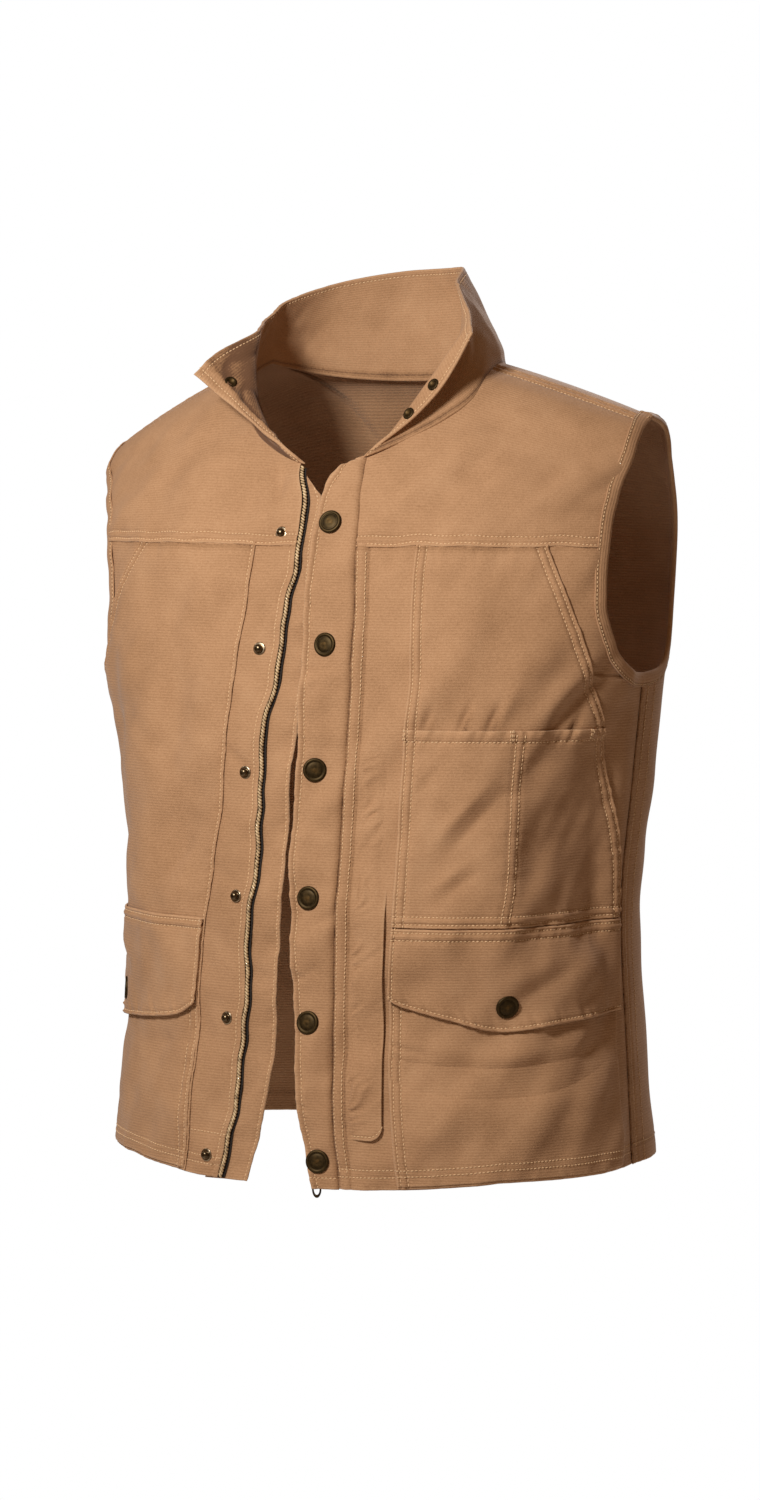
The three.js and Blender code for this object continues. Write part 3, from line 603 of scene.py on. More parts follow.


# zip teeth: cream nylon, with painted shade in the gaps between them and along their sides
def teethFinish():
    teeth = Finish("cream_teeth", Roughness=0.45, Coat_Weight=0.1)
    tone = teeth.noise(teeth.place(), 260, 2) - teeth.shade("seam") * 0.5
    tones = [(0.1, linear(84, 62, 40)), (0.4, linear(186, 156, 114)), (0.7, linear(220, 194, 152))]
    return teeth.tint(tone, tones)


# aged brass: dark olive rim, rubbed brown in the middle, spotted with tarnish
def brassFinish():
    brass = Finish("aged_brass", Metallic=0.85)
    spots = brass.noise(brass.place(), 420, 4, 0.65)
    tones = [(0.15, linear(32, 23, 9)), (0.5, linear(64, 49, 24)), (0.95, linear(112, 80, 38))]
    brass.set(Roughness=0.36 + spots * 0.3)
    return brass.tint(spots * 0.7 + brass.shade("edge") * 0.4, tones)


# studs: pale flange, darker ball that keeps one bright highlight
def paleMetalFinish():
    metal = Finish("pale_metal", Metallic=1.0)
    spots = metal.noise(metal.place(), 500, 3)
    tones = [(0.15, linear(74, 60, 42)), (0.4, linear(116, 101, 78)), (0.8, linear(186, 168, 142))]
    metal.set(Roughness=0.2 + spots * 0.16)
    return metal.tint(spots * 0.5 + metal.shade("edge") * 0.35, tones)


def floorFinish():
    pale = Finish("pale_floor", Roughness=0.9)
    return pale.tint(pale.noise(pale.place(), 1.5, 2), [(0.3, (0.86, 0.86, 0.86)), (0.7, (0.9, 0.9, 0.9))])


duck, thread, tape, teethCream = duckFinish(), threadFinish(), tapeFinish(), teethFinish()
brass, paleMetal = brassFinish(), paleMetalFinish()
print("finishes made")


# Cloth pieces

stitch = dict(pitch=3.3, length=2.7, width=0.55, height=0.42, lift=0.2)
madeSheets = {}


def stitchShape():
    half, w, h, up = stitch["length"] / 2, stitch["width"], stitch["height"], stitch["lift"]
    stations = [[-half, 0, 0, -0.2], [-0.7 * half, w * 0.8, h * 0.8, up * 0.6], [0, w, h, up]]
    stations += [[0.7 * half, w * 0.8, h * 0.8, up * 0.6], [half, 0, 0, -0.2]]
    return spindle(stations, 5)


# every piece rides on the one body; stitches stand for no CAD node
def dress(piece, finish, slot, node=None):
    piece.data.materials.append(finish)
    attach(piece, "root")
    if node:
        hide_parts(node)
    return piece


def stitched(name, lines):
    return dress(newPiece(name, *repeatAlong(lines, stitch["pitch"], stitchShape())), thread, "duck")


# lines of a grid at a set distance from one edge, as (points, normals)
def rowLines(grid, edge, rows):
    lines = []
    for row in rows:
        k = int(np.argmin(np.abs(np.array(grid["edges"][edge]) - row)))
        k = k if edge in ("near", "bottom") else -1 - k
        cut = (slice(1, -1), k) if edge in ("near", "far") else (k, slice(1, -1))
        lines.append((grid["outer"][cut], grid["normal"][cut]))
    return lines


# line of a grid at a given distance round the form for each of its rows, between the two columns beside it
def uprightLine(grid, target, low, high):
    off = grid["around"] - target(grid["level"])
    k = np.argmax(off[:, :-1] * off[:, 1:] <= 0, axis=1)[:, None]
    first, second = np.take_along_axis(off, k, axis=1), np.take_along_axis(off, k + 1, axis=1)
    share = np.clip(first / np.where(first == second, 1, first - second), 0, 1)
    pick = lambda values, at: np.take_along_axis(values, at[..., None], axis=1)[:, 0]
    take = lambda values: pick(values, k) * (1 - share) + pick(values, k + 1) * share
    at = take(grid["level"][..., None])[:, 0]
    keep = (at > low) & (at < high)
    return take(grid["outer"])[keep], take(grid["normal"])[keep]


# line of a grid along one of its rows, between two distances round the form
def levelLine(grid, target, low, high):
    k = int(np.argmin(np.abs(grid["level"].mean(axis=1) - target)))
    keep = (grid["around"][k] > low) & (grid["around"][k] < high)
    return grid["outer"][k][keep], grid["normal"][k][keep]


def gridNormal(points, like):
    across, upwards = np.gradient(points, axis=1), np.gradient(points, axis=0)
    normal = unit(np.cross(across, upwards))
    return normal * np.sign(np.sum(normal * like, axis=-1, keepdims=True))


clothRound, clothWorn = 1.1, 1.6  # radius of a cloth's edge, and width of its pale line
clothScale = 0.01  # UV units in a millimetre


# sets a laid-out grid on the form and makes the cloth. height is the middle of the cloth above the form;
# sizes: thickness, sewn edges, painted shade at rows (edge, rows, amount), and rows of stitches beyond those
def sew(name, node, grid, height, sizes, shades, held, rests, cut=None, angle=None):
    angle = angleOf(grid["around"], grid["level"]) if angle is None else angle
    base, normal = bareForm(angle, grid["level"]), formNormal(angle, grid["level"])
    sewn = sizes.get("sewn", [])
    height = height + sum(sewnEdge(grid, *edge) for edge in sewn)
    shades = shades + sum(amount * paintedSeamShade(grid, edge, at) for edge, at, amount in sizes.get("paintedShade", []))
    half = sizes["thick"] / 2 * roundOff(grid["gaps"], clothRound)
    outer, inner = (base + normal * (height + way * half)[..., None] for way in (1, -1))
    grid.update(outer=outer, normal=gridNormal(outer, normal))
    uv = np.stack([grid["around"], grid["up"]], axis=-1) * clothScale
    worn = hill(np.minimum.reduce(list(np.broadcast_arrays(*grid["gaps"].values()))), clothWorn)
    # seam carries the painted shade, edge the paler worn edges
    shades = dict(seam=np.broadcast_to(shades, worn.shape), edge=worn)
    piece = dress(closedSheet(name, outer, inner, normal, uv, shades), duck, "duck", node)
    rows = [(edge, at) for edge, at, *_ in sewn] + sizes.get("rows", [])
    stitchLines = [line for edge, at in rows for line in rowLines(grid, edge, at)]
    stitchLines += cut(grid) if cut else []
    extra = [stitched(name + "_stitches", stitchLines)] if stitchLines else []
    flat, area = flatSize(base)
    declare(piece, flat, held, rests, extra, area=area)
    return grid


# the flat size of a cloth: its longest row and column on the form, and its area
def flatSize(base):
    rowSteps, colSteps = np.diff(base, axis=1), np.diff(base, axis=0)
    width = np.linalg.norm(rowSteps, axis=-1).sum(axis=1).max() * mm
    length = np.linalg.norm(colSteps, axis=-1).sum(axis=0).max() * mm
    area = np.linalg.norm(np.cross(rowSteps[:-1], colSteps[:, :-1]), axis=-1).sum() * mm * mm
    return (round(float(width), 3), round(float(length), 3)), float(area)


def declare(piece, flat, held, rests, extra=(), **area):
    madeSheets[piece.name] = flat


sides = dict(left=1, right=-1)

frontLines = columns("level panelRight teeth guard placket seam welt panelLeft", [
    [-653, -99, -64, -39, 18, 44, 82, 94],
    [-600, -93, -52, -25, 7, 39, 81, 88],
    [-550, -90, -46, -16, 3, 37, 80, 84],
    [-500, -89, -42, -14, 0, 37, 78, 82],
    [-450, -84, -41, -10, -2, 38, 79, 84],
    [-400, -76, -33, -3, -3, 40, 82, 87],
    [-350, -67, -31, 0, 0, 43, 85, 90],
    [-300, -62, -28, 4, 4, 46, 88, 93],
    [-250, -54, -17, 8, 4, 48, 89, 97],
    [-200, -48, -11, 8, 5, 49, 89, 96],
    [-150, -45, -5, 6, 5, 45, 89, 96],
    [-110, -42, -9, 5, 5, 42, 89, 96],
    [-84, -42, -18, -14, 16, 38, 89, 96],
])
panelOuter = columns("level left right", [
    [-653, 298, -298],
    [-420, 298, -298],
    [-294, 264, -268],
    [-248, 242, -236],
    [-189, 218, -200],
    [-148, 200, -164],
])
armhole = columns("level left right back", [
    [-250, 90, 90, 90],
    [-248, 84.5, 82, 96],
    [-244, 80.5, 76, 100.5],
    [-236, 76, 69.5, 105],
    [-225, 72.4, 64, 109],
    [-190, 67, 56, 114],
    [-148, 67, 58, 115],
    [-87, 69, 65, 113],
    [-34, 73, 72, 107],
    [0, 79, 78, 101],
])
zipSizes = dict(teethWidth=4.4, clear=0.2, hiddenFrom=7, wobble=0.9)


def frontLine(name):
    return lambda level: along(frontLines, name, level)


# the right half of the zip, with the small sideways waves of an uneven seam
def teethLine(level):
    return along(frontLines, "teeth", level) + zipSizes["wobble"] * ripple(level, 15, (31, 47, 83))


def moved(edge, by):
    return lambda value: edge(value) + by


def fixed(value):
    return lambda other: value + 0.0 * np.asarray(other, float)


def armEdge(side):
    return lambda level: aroundOf(sides[side] * along(armhole, side, level), level)


def zipEdge(side):
    width, clear = zipSizes["teethWidth"], zipSizes["clear"]
    if side == "left":
        return moved(frontLine("placket"), zipSizes["hiddenFrom"] + width + clear)
    return moved(teethLine, -width / 2 - clear)


# turned hem: a groove at each of its rows, and puckers
def hemBand(grid):
    d = grid["level"] - hemAt(grid["around"])
    grooves = -0.4 * sum(hill(d - row, 1.2) for row in hem["rows"])
    return grooves + 0.4 * hill(d, 9) * ripple(grid["around"], 77)


def hemLines(grid):
    made = []
    for row in hem["rows"]:
        k = np.argmin(np.abs(grid["level"] - hemAt(grid["around"]) - row), axis=0)[None, :]
        take = lambda values: np.take_along_axis(values, k[..., None], axis=0)[0]
        made.append((take(grid["outer"])[2:-2], take(grid["normal"])[2:-2]))
    return made


fronts = dict(step=4.2, fine=1.3, fineFrom=2.5, fineReach=84, thick=1.5, height=-0.75, underYoke=3,
              ridge=2.0, ridgeWidth=3.6, ridgeAt=4.6, ridgeRows=(2.2, 8.8), sideLap=3.5, lapDrop=1.5,
              lapReach=7, stitchEnds=(-640, seams["yoke"] - 2), zipRow=5, ribbonEnds=(-96, -57))


# share of the side seam: none at the armhole, all of it below
def belowArmhole(level):
    return smoothstep(armhole["level"][0], armhole["level"][0] - 12, level)


# below the armhole the front runs on a little under the edge of the back
def sideEdge(side):
    return lambda level: armEdge(side)(level) + sides[side] * fronts["sideLap"] * belowArmhole(level)


# shell fronts: fine columns beside the zip, and on the left a stitched ridge beside the storm flap
def makeFronts():
    made = {}
    strip = np.arange(fronts["fineFrom"], fronts["fineReach"], fronts["fine"])
    edges = dict(near=np.concatenate([plainEdge[:-1], strip]), far=plainEdge, bottom=hemEdge, top=plainEdge)
    top = fixed(seams["yoke"] + fronts["underYoke"])
    for side in sides:
        grid = layOut(hemAt, top, zipEdge(side), sideEdge(side), fronts["step"], edges)
        a, l = grid["around"], grid["level"]
        height = fronts["height"] + drape(a, l) + hemBand(grid)
        height = height - fronts["lapDrop"] * hill(grid["gaps"]["far"], fronts["lapReach"]) * belowArmhole(l)
        # painted shade just under the lapped edge of the yoke
        shades = 0.5 * hill(l - seams["yoke"] + 1, 1.5)
        if side == "left":
            past = a - along(frontLines, "seam", l)
            height = height + fronts["ridge"] * hill(past - fronts["ridgeAt"], fronts["ridgeWidth"]) ** 0.7
            height = height - 1.0 * hill(past - 10.5, 1.4) + 0.5 * hill(past - 6, 9) * ripple(l, 12)
            # painted shade in the groove beside the ridge and along the storm flap's seam
            shades = shades + 0.6 * hill(past - 11, 1.0) + 0.8 * hill(past - 0.2, 1.2)
            uprights, ribbons = [moved(frontLine("seam"), row) for row in fronts["ridgeRows"]], []
        else:
            ribbon = hill(l - hem["ribbonLevel"], 1.2) * (a > along(frontLines, "panelRight", l))
            height = height + sewnEdge(grid, "near", (fronts["zipRow"],), 14, 0.4, 0.3) - 0.5 * ribbon
            uprights, ribbons = [moved(zipEdge("right"), -fronts["zipRow"])], [fronts["ribbonEnds"]]
        cut = lambda g: (hemLines(g) + [uprightLine(g, line, *fronts["stitchEnds"]) for line in uprights]
                         + [levelLine(g, hem["ribbonLevel"], *ends) for ends in ribbons])
        name = "front_" + side
        made[side] = sew(name + "_cloth", name, grid, height, fronts, shades, "hung", [], cut)
    return made


yokes = dict(step=3, thick=1.4, height=0.1, lap=1.2, bareLap=0.1, lapReach=10, lapSoft=4, wave=0.9,
             sewn=[("bottom", (3, 9), 21, 0.4, 0.3), ("top", (5.5, 11), 22, 0.5, 0.3)],
             paintedShade=[("bottom", (9,), 0.2), ("top", (5.5, 11), 0.3)])


# half width |level| below the neck point: N (1 - depth^2)^(r/2), spread on the left
def neckEdge(side):
    def edge(level):
        depth = np.clip(-level / neck["frontDepth"], 0, 1)
        half = shoulder["neckHalf"] * (1 - depth ** 2) ** (neck["frontRound"] / 2)
        half = half + (side == "left") * spread(90 + np.degrees(np.arcsin(depth)))
        reach = aroundOf(angleOfX(sides[side] * half, level), level)
        return sides[side] * np.maximum(sides[side] * zipEdge(side)(level), sides[side] * reach)
    return edge


# height above the yoke seam by arc length, so that rows stay even over the shoulder
def yokeLevels():
    level = np.linspace(seams["yoke"], -seams["shoulder"], 400)
    points = bareForm(angleOf(np.full(400, 150.0), level), level)
    return arcLength(points), level


# yokes: the lower edge laps over the panels and is stitched twice; a double row runs along the shoulder
def makeYokes():
    reach, level = yokeLevels()
    toLevel = lambda height: np.interp(height, reach, level)
    edges = dict(near=plainEdge, far=plainEdge, bottom=doubleEdge, top=doubleEdge)
    seam = lambda around: yokes["wave"] * ripple(around, 23, (38, 57, 95))
    soft = yokes["lapSoft"]
    made = {}
    for side, sign in sides.items():
        grid = layOut(seam, fixed(reach[-1]), neckEdge(side), armEdge(side), yokes["step"], edges, toLevel)
        out = sign * grid["around"]
        inner, outer = (sign * edge(seams["yoke"]) for edge in (panelInner(side), panelOuterEdge(side)))
        covered = smoothstep(inner - soft, inner + soft, out) * smoothstep(outer + soft, outer - soft, out)
        lap = (yokes["lap"] + yokes["bareLap"]) * covered - yokes["bareLap"]
        height = yokes["height"] + lap * hill(grid["gaps"]["bottom"], yokes["lapReach"])
        height = height + drape(grid["around"], grid["level"])
        name = "yoke_" + side
        made[side] = sew(name + "_cloth", name, grid, height, yokes, 0.0, "hung", [])
    return made


backSizes = dict(step=5, thick=1.5, height=-0.75, neckTurn=0.62, hemStitch=15, shoulderLap=0.7, lapRise=1.7,
                 lapStart=(100, 112), measuredAt=128.0,
                 sewn=[("near", (3, 9), 34, 0.5, 0.3), ("far", (3, 9), 35, 0.5, 0.3)],
                 paintedShade=[("near", (0.5,), 1), ("far", (0.5,), 1)])
backFolds = columns("around level halfLength halfWidth lean height round", [
    [-60, -190, 110, 26, 14, 2.2, 2],
    [70, -210, 120, 28, -12, 2.0, 2],
    [0, -430, 60, 40, 80, -3.0, 2],
    [-110, -470, 70, 18, 60, 2.0, 1.7],
    [120, -480, 70, 18, -58, 2.2, 1.7],
    [-30, -560, 110, 22, 8, 1.8, 2],
    [60, -590, 100, 24, -6, -1.6, 2],
    [-170, -320, 60, 16, -40, -1.8, 1.7],
    [165, -330, 60, 16, 42, -1.8, 1.7],
])


# back: rows by arc length from the hem, over the shoulders to the forward seam, between them to the neckline
def makeBack():
    level = np.linspace(hemAt(hem["riseAt"]), seams["shoulder"] + backSizes["shoulderLap"], 900)
    reach = arcLength(bareForm(np.full(900, backSizes["measuredAt"]), level))
    span = bareForm(np.array(101.0), np.array(0.0))[0]
    colOffset, colShare = stops(doubleEdge, doubleEdge, 2 * span, backSizes["step"])
    across = (2 * (colOffset / (2 * span) + colShare) - 1)[None, :]
    rowOffset, rowShare = (a[:, None] for a in stops(doubleEdge, plainEdge, reach[-1], backSizes["step"]))
    edgeAt = lambda l: np.where(l < armhole["level"][0], 90, along(armhole, "back", -np.abs(l)))
    share = np.abs(across)
    wide = np.sign(across) * (backSizes["neckTurn"] * share ** 2 + (1 - backSizes["neckTurn"]) * share)
    topX = np.abs(bareForm(180 - np.abs(wide) * (180 - edgeAt(0.0)), -1.0)[..., 0])
    neckline = -neck["backDepth"] * np.sqrt(np.maximum(0, 1 - (topX / shoulder["neckHalf"]) ** 2)) - 0.2
    lapped = smoothstep(*backSizes["lapStart"], topX)
    topLevel = np.where(topX < shoulder["neckHalf"], neckline, level[-1] * lapped)
    top = np.interp(topLevel, level, reach)
    up = rowOffset + rowShare * top
    at = np.interp(up, reach, level)
    angle = np.sign(wide) * (180 - np.abs(wide) * (180 - edgeAt(at)))
    angle = np.where(wide == 0, 180, angle)
    base = bareForm(angle, at)
    arc = np.cumsum(np.linalg.norm(np.diff(base, axis=1, prepend=base[:, :1]), axis=-1), axis=1)
    width = arc[:, -1:]
    around = arc - width / 2
    gaps = dict(near=arc, far=width - arc, bottom=up, top=top - up)
    edges = dict(near=doubleEdge, far=doubleEdge, bottom=doubleEdge, top=plainEdge)
    grid = dict(around=around, level=at, up=up, gaps=gaps, edges=edges)
    soft = 1.8 * rumple(around, at, 180, 31) + 0.6 * rumple(around, at, 70, 32)
    fade = smoothstep(0, shoulderFade, at) * smoothstep(0, sideFade, np.minimum(arc, width - arc))
    height = backSizes["height"] + (foldSum(backFolds, around, at) + soft) * fade
    height = height + backSizes["lapRise"] * hill(top - up, fronts["lapReach"]) * lapped
    height = height - 0.5 * hill(up - backSizes["hemStitch"], 1.2) + 0.35 * hill(up, 9) * ripple(around, 33)
    # painted shade in the groove of the hem stitching
    shades = 0.6 * hill(up - backSizes["hemStitch"], 1.6)
    k = int(np.argmin(np.abs(up[:, len(colShare) // 2] - backSizes["hemStitch"])))
    cut = lambda g: [(g["outer"][k, 2:-2], g["normal"][k, 2:-2])]
    sew("back_cloth", "back", grid, height, backSizes, shades, "hung", [], cut, angle)


bands = dict(stations=150, pucker=0.22, stitchPoint=3, rim=-1.2)
# profile: distance from the edge, height above the form; out over the top, round the edge and back below
bandProfile = np.array([
    [10.2, 0.05], [10.0, 0.7], [9.3, 1.05], [8.2, 0.75], [7.0, 1.2], [5.0, 1.55], [2.6, 1.6], [0.6, 1.45],
    [-0.7, 1.0], [-1.4, 0.1], [-1.5, -0.9], [-1.0, -1.9], [0.2, -2.5], [2.5, -2.7], [6.0, -2.6], [6.4, -2.0],
    [6.0, -1.6], [2.5, -1.62], [4.0, -1.3], [7.0, -0.9],
])


# armhole bands: a turned strip carried round the armhole, its profile wrapped over the cloth's edge
def makeBands():
    t = np.linspace(0, 1, bands["stations"] + 1)
    heights = armhole["level"][0] * (1 + np.cos(np.pi * t)) / 2
    w, stitchPoint = bandProfile[None, :, 0], bands["stitchPoint"]
    stripWidth = np.linalg.norm(bandProfile - np.roll(bandProfile, 1, axis=0), axis=1).sum() / 2
    for side, sign in sides.items():
        rising, falling = sign * along(armhole, side, heights), sign * along(armhole, "back", heights)
        angle = np.concatenate([rising, falling[-2:0:-1]])
        level = np.concatenate([heights, heights[-2:0:-1]])
        edge, normal = bareForm(angle, level), formNormal(angle, level)
        edge = edge + normal * (drape(aroundOf(angle, level), level) * (np.abs(angle) < 90))[:, None]
        ahead = unit(np.roll(edge, -1, axis=0) - np.roll(edge, 1, axis=0))
        away = unit(np.cross(ahead, normal))
        away = away * np.sign(np.sum(away * (edge - edge.mean(axis=0)), axis=1))[:, None]
        s = np.cumsum(np.linalg.norm(edge - np.roll(edge, 1, axis=0), axis=1))
        h = bandProfile[None, :, 1] + bands["pucker"] * ripple(s, 51)[:, None] * smoothstep(2, 8, w)
        points = edge[:, None] + away[:, None] * w[..., None] + normal[:, None] * h[..., None]
        rows, cols = points.shape[:2]
        quads = cells(rows, cols, True, True)
        centre = points.mean(axis=1)
        turn = np.cross(points[0, 1] - points[0, 0], points[1, 0] - points[0, 0])
        quads = quads if np.dot(turn, points[0, 0] - centre[0]) > 0 else quads[:, ::-1]
        uv = np.stack([s[:, None] + 0 * w, 0 * s[:, None] + w], axis=-1).reshape(-1, 2) * clothScale
        # painted shade in the groove at the row of stitches; edge is the paler worn rim
        shades = dict(seam=hill(w - bandProfile[stitchPoint, 0], 0.8), edge=hill(w - bands["rim"], clothWorn))
        shades = {key: np.broadcast_to(value, (rows, cols)).ravel() for key, value in shades.items()}
        name = "armhole_band_" + side
        piece = newPiece(name + "_cloth", points.reshape(-1, 3), quads, uv=uv, shades=shades)
        dress(piece, duck, "duck", name)
        closing = lambda line: np.concatenate([line, line[:1]])
        extra = stitched(name + "_stitches", [(closing(points[:, stitchPoint]), closing(normal))])
        flat = (round(float(s[-1]) * mm, 3), round(float(stripWidth) * mm, 3))
        declare(piece, flat, "stretched", ["front_" + side + "_cloth"], [extra])


placketSizes = dict(step=2.2, thick=2.2, height=2.2, lift=3, liftBelow=5, edgeIn=3, edgeBelow=2, bow=1.3,
                    bowReach=28, snapDent=1.0, snapReach=15, hemRow=9, sewn=[("near", (5,), 41, 0.5, 0.5)],
                    rows=[("bottom", (9,))], paintedShade=[("near", (5,), 0.15)])
snapLevels = np.array([-130, -225, -323, -423, -521, -631])
placketFolds = columns("around level halfLength halfWidth lean height round", [
    [24, -246, 16, 6, 78, -2.4, 1.6],
    [15, -254, 14, 5, 62, 1.6, 1.8],
    [22, -152, 16, 7, 84, -2.3, 1.7],
    [8, -488, 18, 5, 58, -2.1, 1.5],
    [30, -440, 14, 5, 70, -2.0, 1.6],
    [28, -350, 30, 9, 84, 1.4, 2],
    [20, -560, 60, 12, 6, 1.6, 2],
    [14, -400, 40, 9, 8, -1.4, 2],
    [30, -300, 40, 10, 4, -1.4, 2],
])


def placketTop(around):
    share = np.minimum(1, np.abs(around) / shoulder["neckHalf"]) ** (2 / neck["frontRound"])
    fromEdge = np.maximum(0, around - along(frontLines, "placket", seams["yoke"]))
    drop = neck["cornerDrop"] * np.exp(-fromEdge / neck["cornerWidth"])
    return -neck["frontDepth"] * np.sqrt(1 - share) - neck["clear"] - drop


# storm flap: lifted along its free edge, more so lower down, bowed between the snaps and pressed in at each
def makePlacket():
    edges = dict(near=foldedEdge, far=plainEdge, bottom=doubleEdge, top=foldedEdge)
    inwards = lambda level: placketSizes["edgeIn"] + placketSizes["edgeBelow"] * smoothstep(-300, -560, level)
    near = lambda level: along(frontLines, "placket", level) + inwards(level)
    grid = layOut(fixed(hem["level"]), placketTop, near, frontLine("seam"), placketSizes["step"], edges)
    a, l = grid["around"], grid["level"]
    share = grid["gaps"]["near"] / (grid["gaps"]["near"] + grid["gaps"]["far"])
    lift = placketSizes["lift"] + placketSizes["liftBelow"] * smoothstep(-300, -640, l)
    between = (snapLevels[1:] + snapLevels[:-1]) / 2
    lift = lift + placketSizes["bow"] * sum(hill(l - middle, placketSizes["bowReach"]) for middle in between)
    height = placketSizes["height"] + lift * (1 - share) ** 0.9 + drape(a, l) + foldSum(placketFolds, a, l)
    height = height - 1.6 * hill(grid["gaps"]["far"], 2.2) + 0.5 * rumple(a, l, 22, 43)
    height = height - 0.4 * hill(grid["gaps"]["bottom"] - placketSizes["hemRow"], 1)
    for number in range(1, len(snapLevels) + 1):
        dent = pressedIn(grid, "snap_cap_%d" % number, placketSizes["snapReach"])
        height = height - placketSizes["snapDent"] * dent
    # painted shade in the groove along the seam
    shades = 0.9 * hill(grid["gaps"]["far"], 1.6)
    rests = ["front_left_cloth"]
    return sew("placket_cloth", "placket_left", grid, height, placketSizes, shades, "hung", rests)


def nodeCentre(node):
    low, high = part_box(node)
    return np.array((low + high) / 2) / mm


# round dent in a cloth about a node's middle, 1 at its deepest
def pressedIn(grid, node, reach):
    base = bareForm(angleOf(grid["around"], grid["level"]), grid["level"])
    return hill(np.linalg.norm(base - nodeCentre(node), axis=-1), reach)


panels = dict(step=2.8, thick=1.3, height=0.95, aboveHem=1.0, underYoke=2.5)
panelRows = dict(left=(3, 9), right=(3,))


def panelInner(side):
    return frontLine("panelLeft" if side == "left" else "panelRight")


def panelOuterEdge(side):
    return lambda level: along(panelOuter, side, level)


# overlay panels: double stitched down the inner edge and along the slanted outer edge
def makePanels():
    edges = dict(near=doubleEdge, far=doubleEdge, bottom=hemEdge, top=plainEdge)
    low, high = moved(hemAt, panels["aboveHem"]), fixed(seams["yoke"] + panels["underYoke"])
    for side in sides:
        grid = layOut(low, high, panelInner(side), panelOuterEdge(side), panels["step"], edges)
        a, l, fromTop = grid["around"], grid["level"], grid["gaps"]["top"]
        height = panels["height"] + drape(a, l) + hemBand(grid) + 0.3 * hill(fromTop, 16) * ripple(a, 63)
        # painted shade just under the yoke's edge, and in the small pleats above the chest pocket's mouth
        slanted = a - 0.4 * (l - chest["top"])
        pleatShade = sum(lift * hill(slanted - at, 3.2) for at, lift, _ in zip(*mouthGaps.values()))
        shades = hill(fromTop - 4, 1.5) + (side == "left") * 0.4 * pleatShade * hill(l - chest["top"], 12)
        sewn = [("near", panelRows[side], 61, 0.45, 0.3), ("far", (3, 9), 62, 0.5, 0.4)]
        sizes = dict(panels, sewn=sewn, paintedShade=[("near", panelRows[side], 0.15), ("far", (3, 9), 0.2)])
        name = "panel_" + side
        sew(name + "_cloth", name, grid, height, sizes, shades, "laid", ["front_%s_cloth" % side], hemLines)


chest = dict(step=2.4, thick=1.3, height=2.35, inset=0.6, top=-290, bottom=-444, divider=6.4, middle=3.2,
             stitchEnds=(-443, -291), tackHalf=5, tackRows=(-1.2, 0, 1.2),
             sewn=[("near", (3, 9), 71, 0.45, 0.4), ("far", (3, 9), 72, 0.45, 0.45),
                   ("bottom", (3, 9), 73, 0.4, 0.45), ("top", (9,), 74, 0.4, 0.4)],
             paintedShade=[("bottom", (3, 9), 0.15)])
mouthGaps = columns("around lift width", [
    [114, 0.9, 7],
    [141, 1.8, 8],
    [163, 1.8, 8],
    [206, 1.2, 12],
    [231, 1.8, 8],
])
barTacks = columns("around level", [
    [94, -294],
    [178, -294],
    [247, -294],
])


# chest pocket: a double row divides it, and its mouth gapes a little between the fastened points
def makeChestPocket():
    edges = dict(near=doubleEdge, far=doubleEdge, bottom=doubleEdge, top=doubleEdge)
    near, far = moved(panelInner("left"), chest["inset"]), moved(panelOuterEdge("left"), -chest["inset"])
    grid = layOut(fixed(chest["bottom"]), fixed(chest["top"]), near, far, chest["step"], edges)
    a, l, gaps = grid["around"], grid["level"], grid["gaps"]
    divider = lambda level: along(chestDivider, "around", level)
    off = a - divider(l)
    dividing = lambda width: hill(off, width) + hill(off - chest["divider"], width)
    height = chest["height"] + drape(a, l) - 1.0 * dividing(1.6) + 0.9 * hill(off - chest["middle"], 2)
    height = height + 0.45 * hill(off - chest["middle"], 14) * ripple(l, 75)
    height = height + 0.8 * hill(gaps["bottom"] - 6, 3)
    gape = sum(lift * hill(a - at, width) for at, lift, width in zip(*mouthGaps.values()))
    height = height + gape * hill(gaps["top"], 12) + 1.2 * hill(a - 140, 34) * hill(l + 350, 60)
    # painted shade in the grooves of the divider's two rows
    shades = 0.2 * dividing(1.4)
    def cut(g):
        lines = [uprightLine(g, moved(divider, by), *chest["stitchEnds"]) for by in (0, chest["divider"])]
        for at, level in zip(*barTacks.values()):
            ends = level - chest["tackHalf"], level + chest["tackHalf"]
            lines += [uprightLine(g, fixed(at + way), *ends) for way in chest["tackRows"]]
        return lines
    rests = ["panel_left_cloth"]
    sew("chest_pocket_cloth", "chest_pocket_left", grid, height, chest, shades, "laid", rests, cut)


lower = dict(step=2.5, thick=1.3, height=2.35, aboveHem=3.0, top=-451, inset=1.0, far=296,
             creaseLevel=-547, creaseAt=172, creaseRise=9,
             sewn=[("near", (3, 9), 81, 0.45, 0.35)], paintedShade=[("near", (3, 9), 0.15)])


# lower pockets: a sagging crease below the flap, where the cloth swells, falls in and swells again
def makeLowerPockets():
    edges = dict(near=doubleEdge, far=plainEdge, bottom=hemEdge, top=plainEdge)
    low, high = moved(hemAt, lower["aboveHem"]), fixed(lower["top"])
    for side, sign in sides.items():
        near, far = moved(panelInner(side), sign * lower["inset"]), fixed(sign * lower["far"])
        grid = layOut(low, high, near, far, lower["step"], edges)
        a, l = grid["around"], grid["level"]
        height = lower["height"] + drape(a, l) + hemBand(grid)
        if side == "left":
            d = l - lower["creaseLevel"] - lower["creaseRise"] * ((a - lower["creaseAt"]) / 82) ** 2
            band = 3.0 * hill(d - 3, 9) - 6.5 * hill(d + 20, 13) + 3.0 * hill(d + 46, 22)
            height = height + band * hill(a - lower["creaseAt"], 95) - 2.2 * hill(d, 2.6) * hill(a - 94, 24)
        else:
            d = l + 548 - 0.12 * (a + 150)
            height = height - 1.6 * np.where(d < 0, hill(d, 6), hill(d, 14)) * hill(a + 110, 60)
        name = "lower_pocket_" + side
        sew(name + "_cloth", name, grid, height, lower, 0.0, "laid", ["panel_%s_cloth" % side], hemLines)


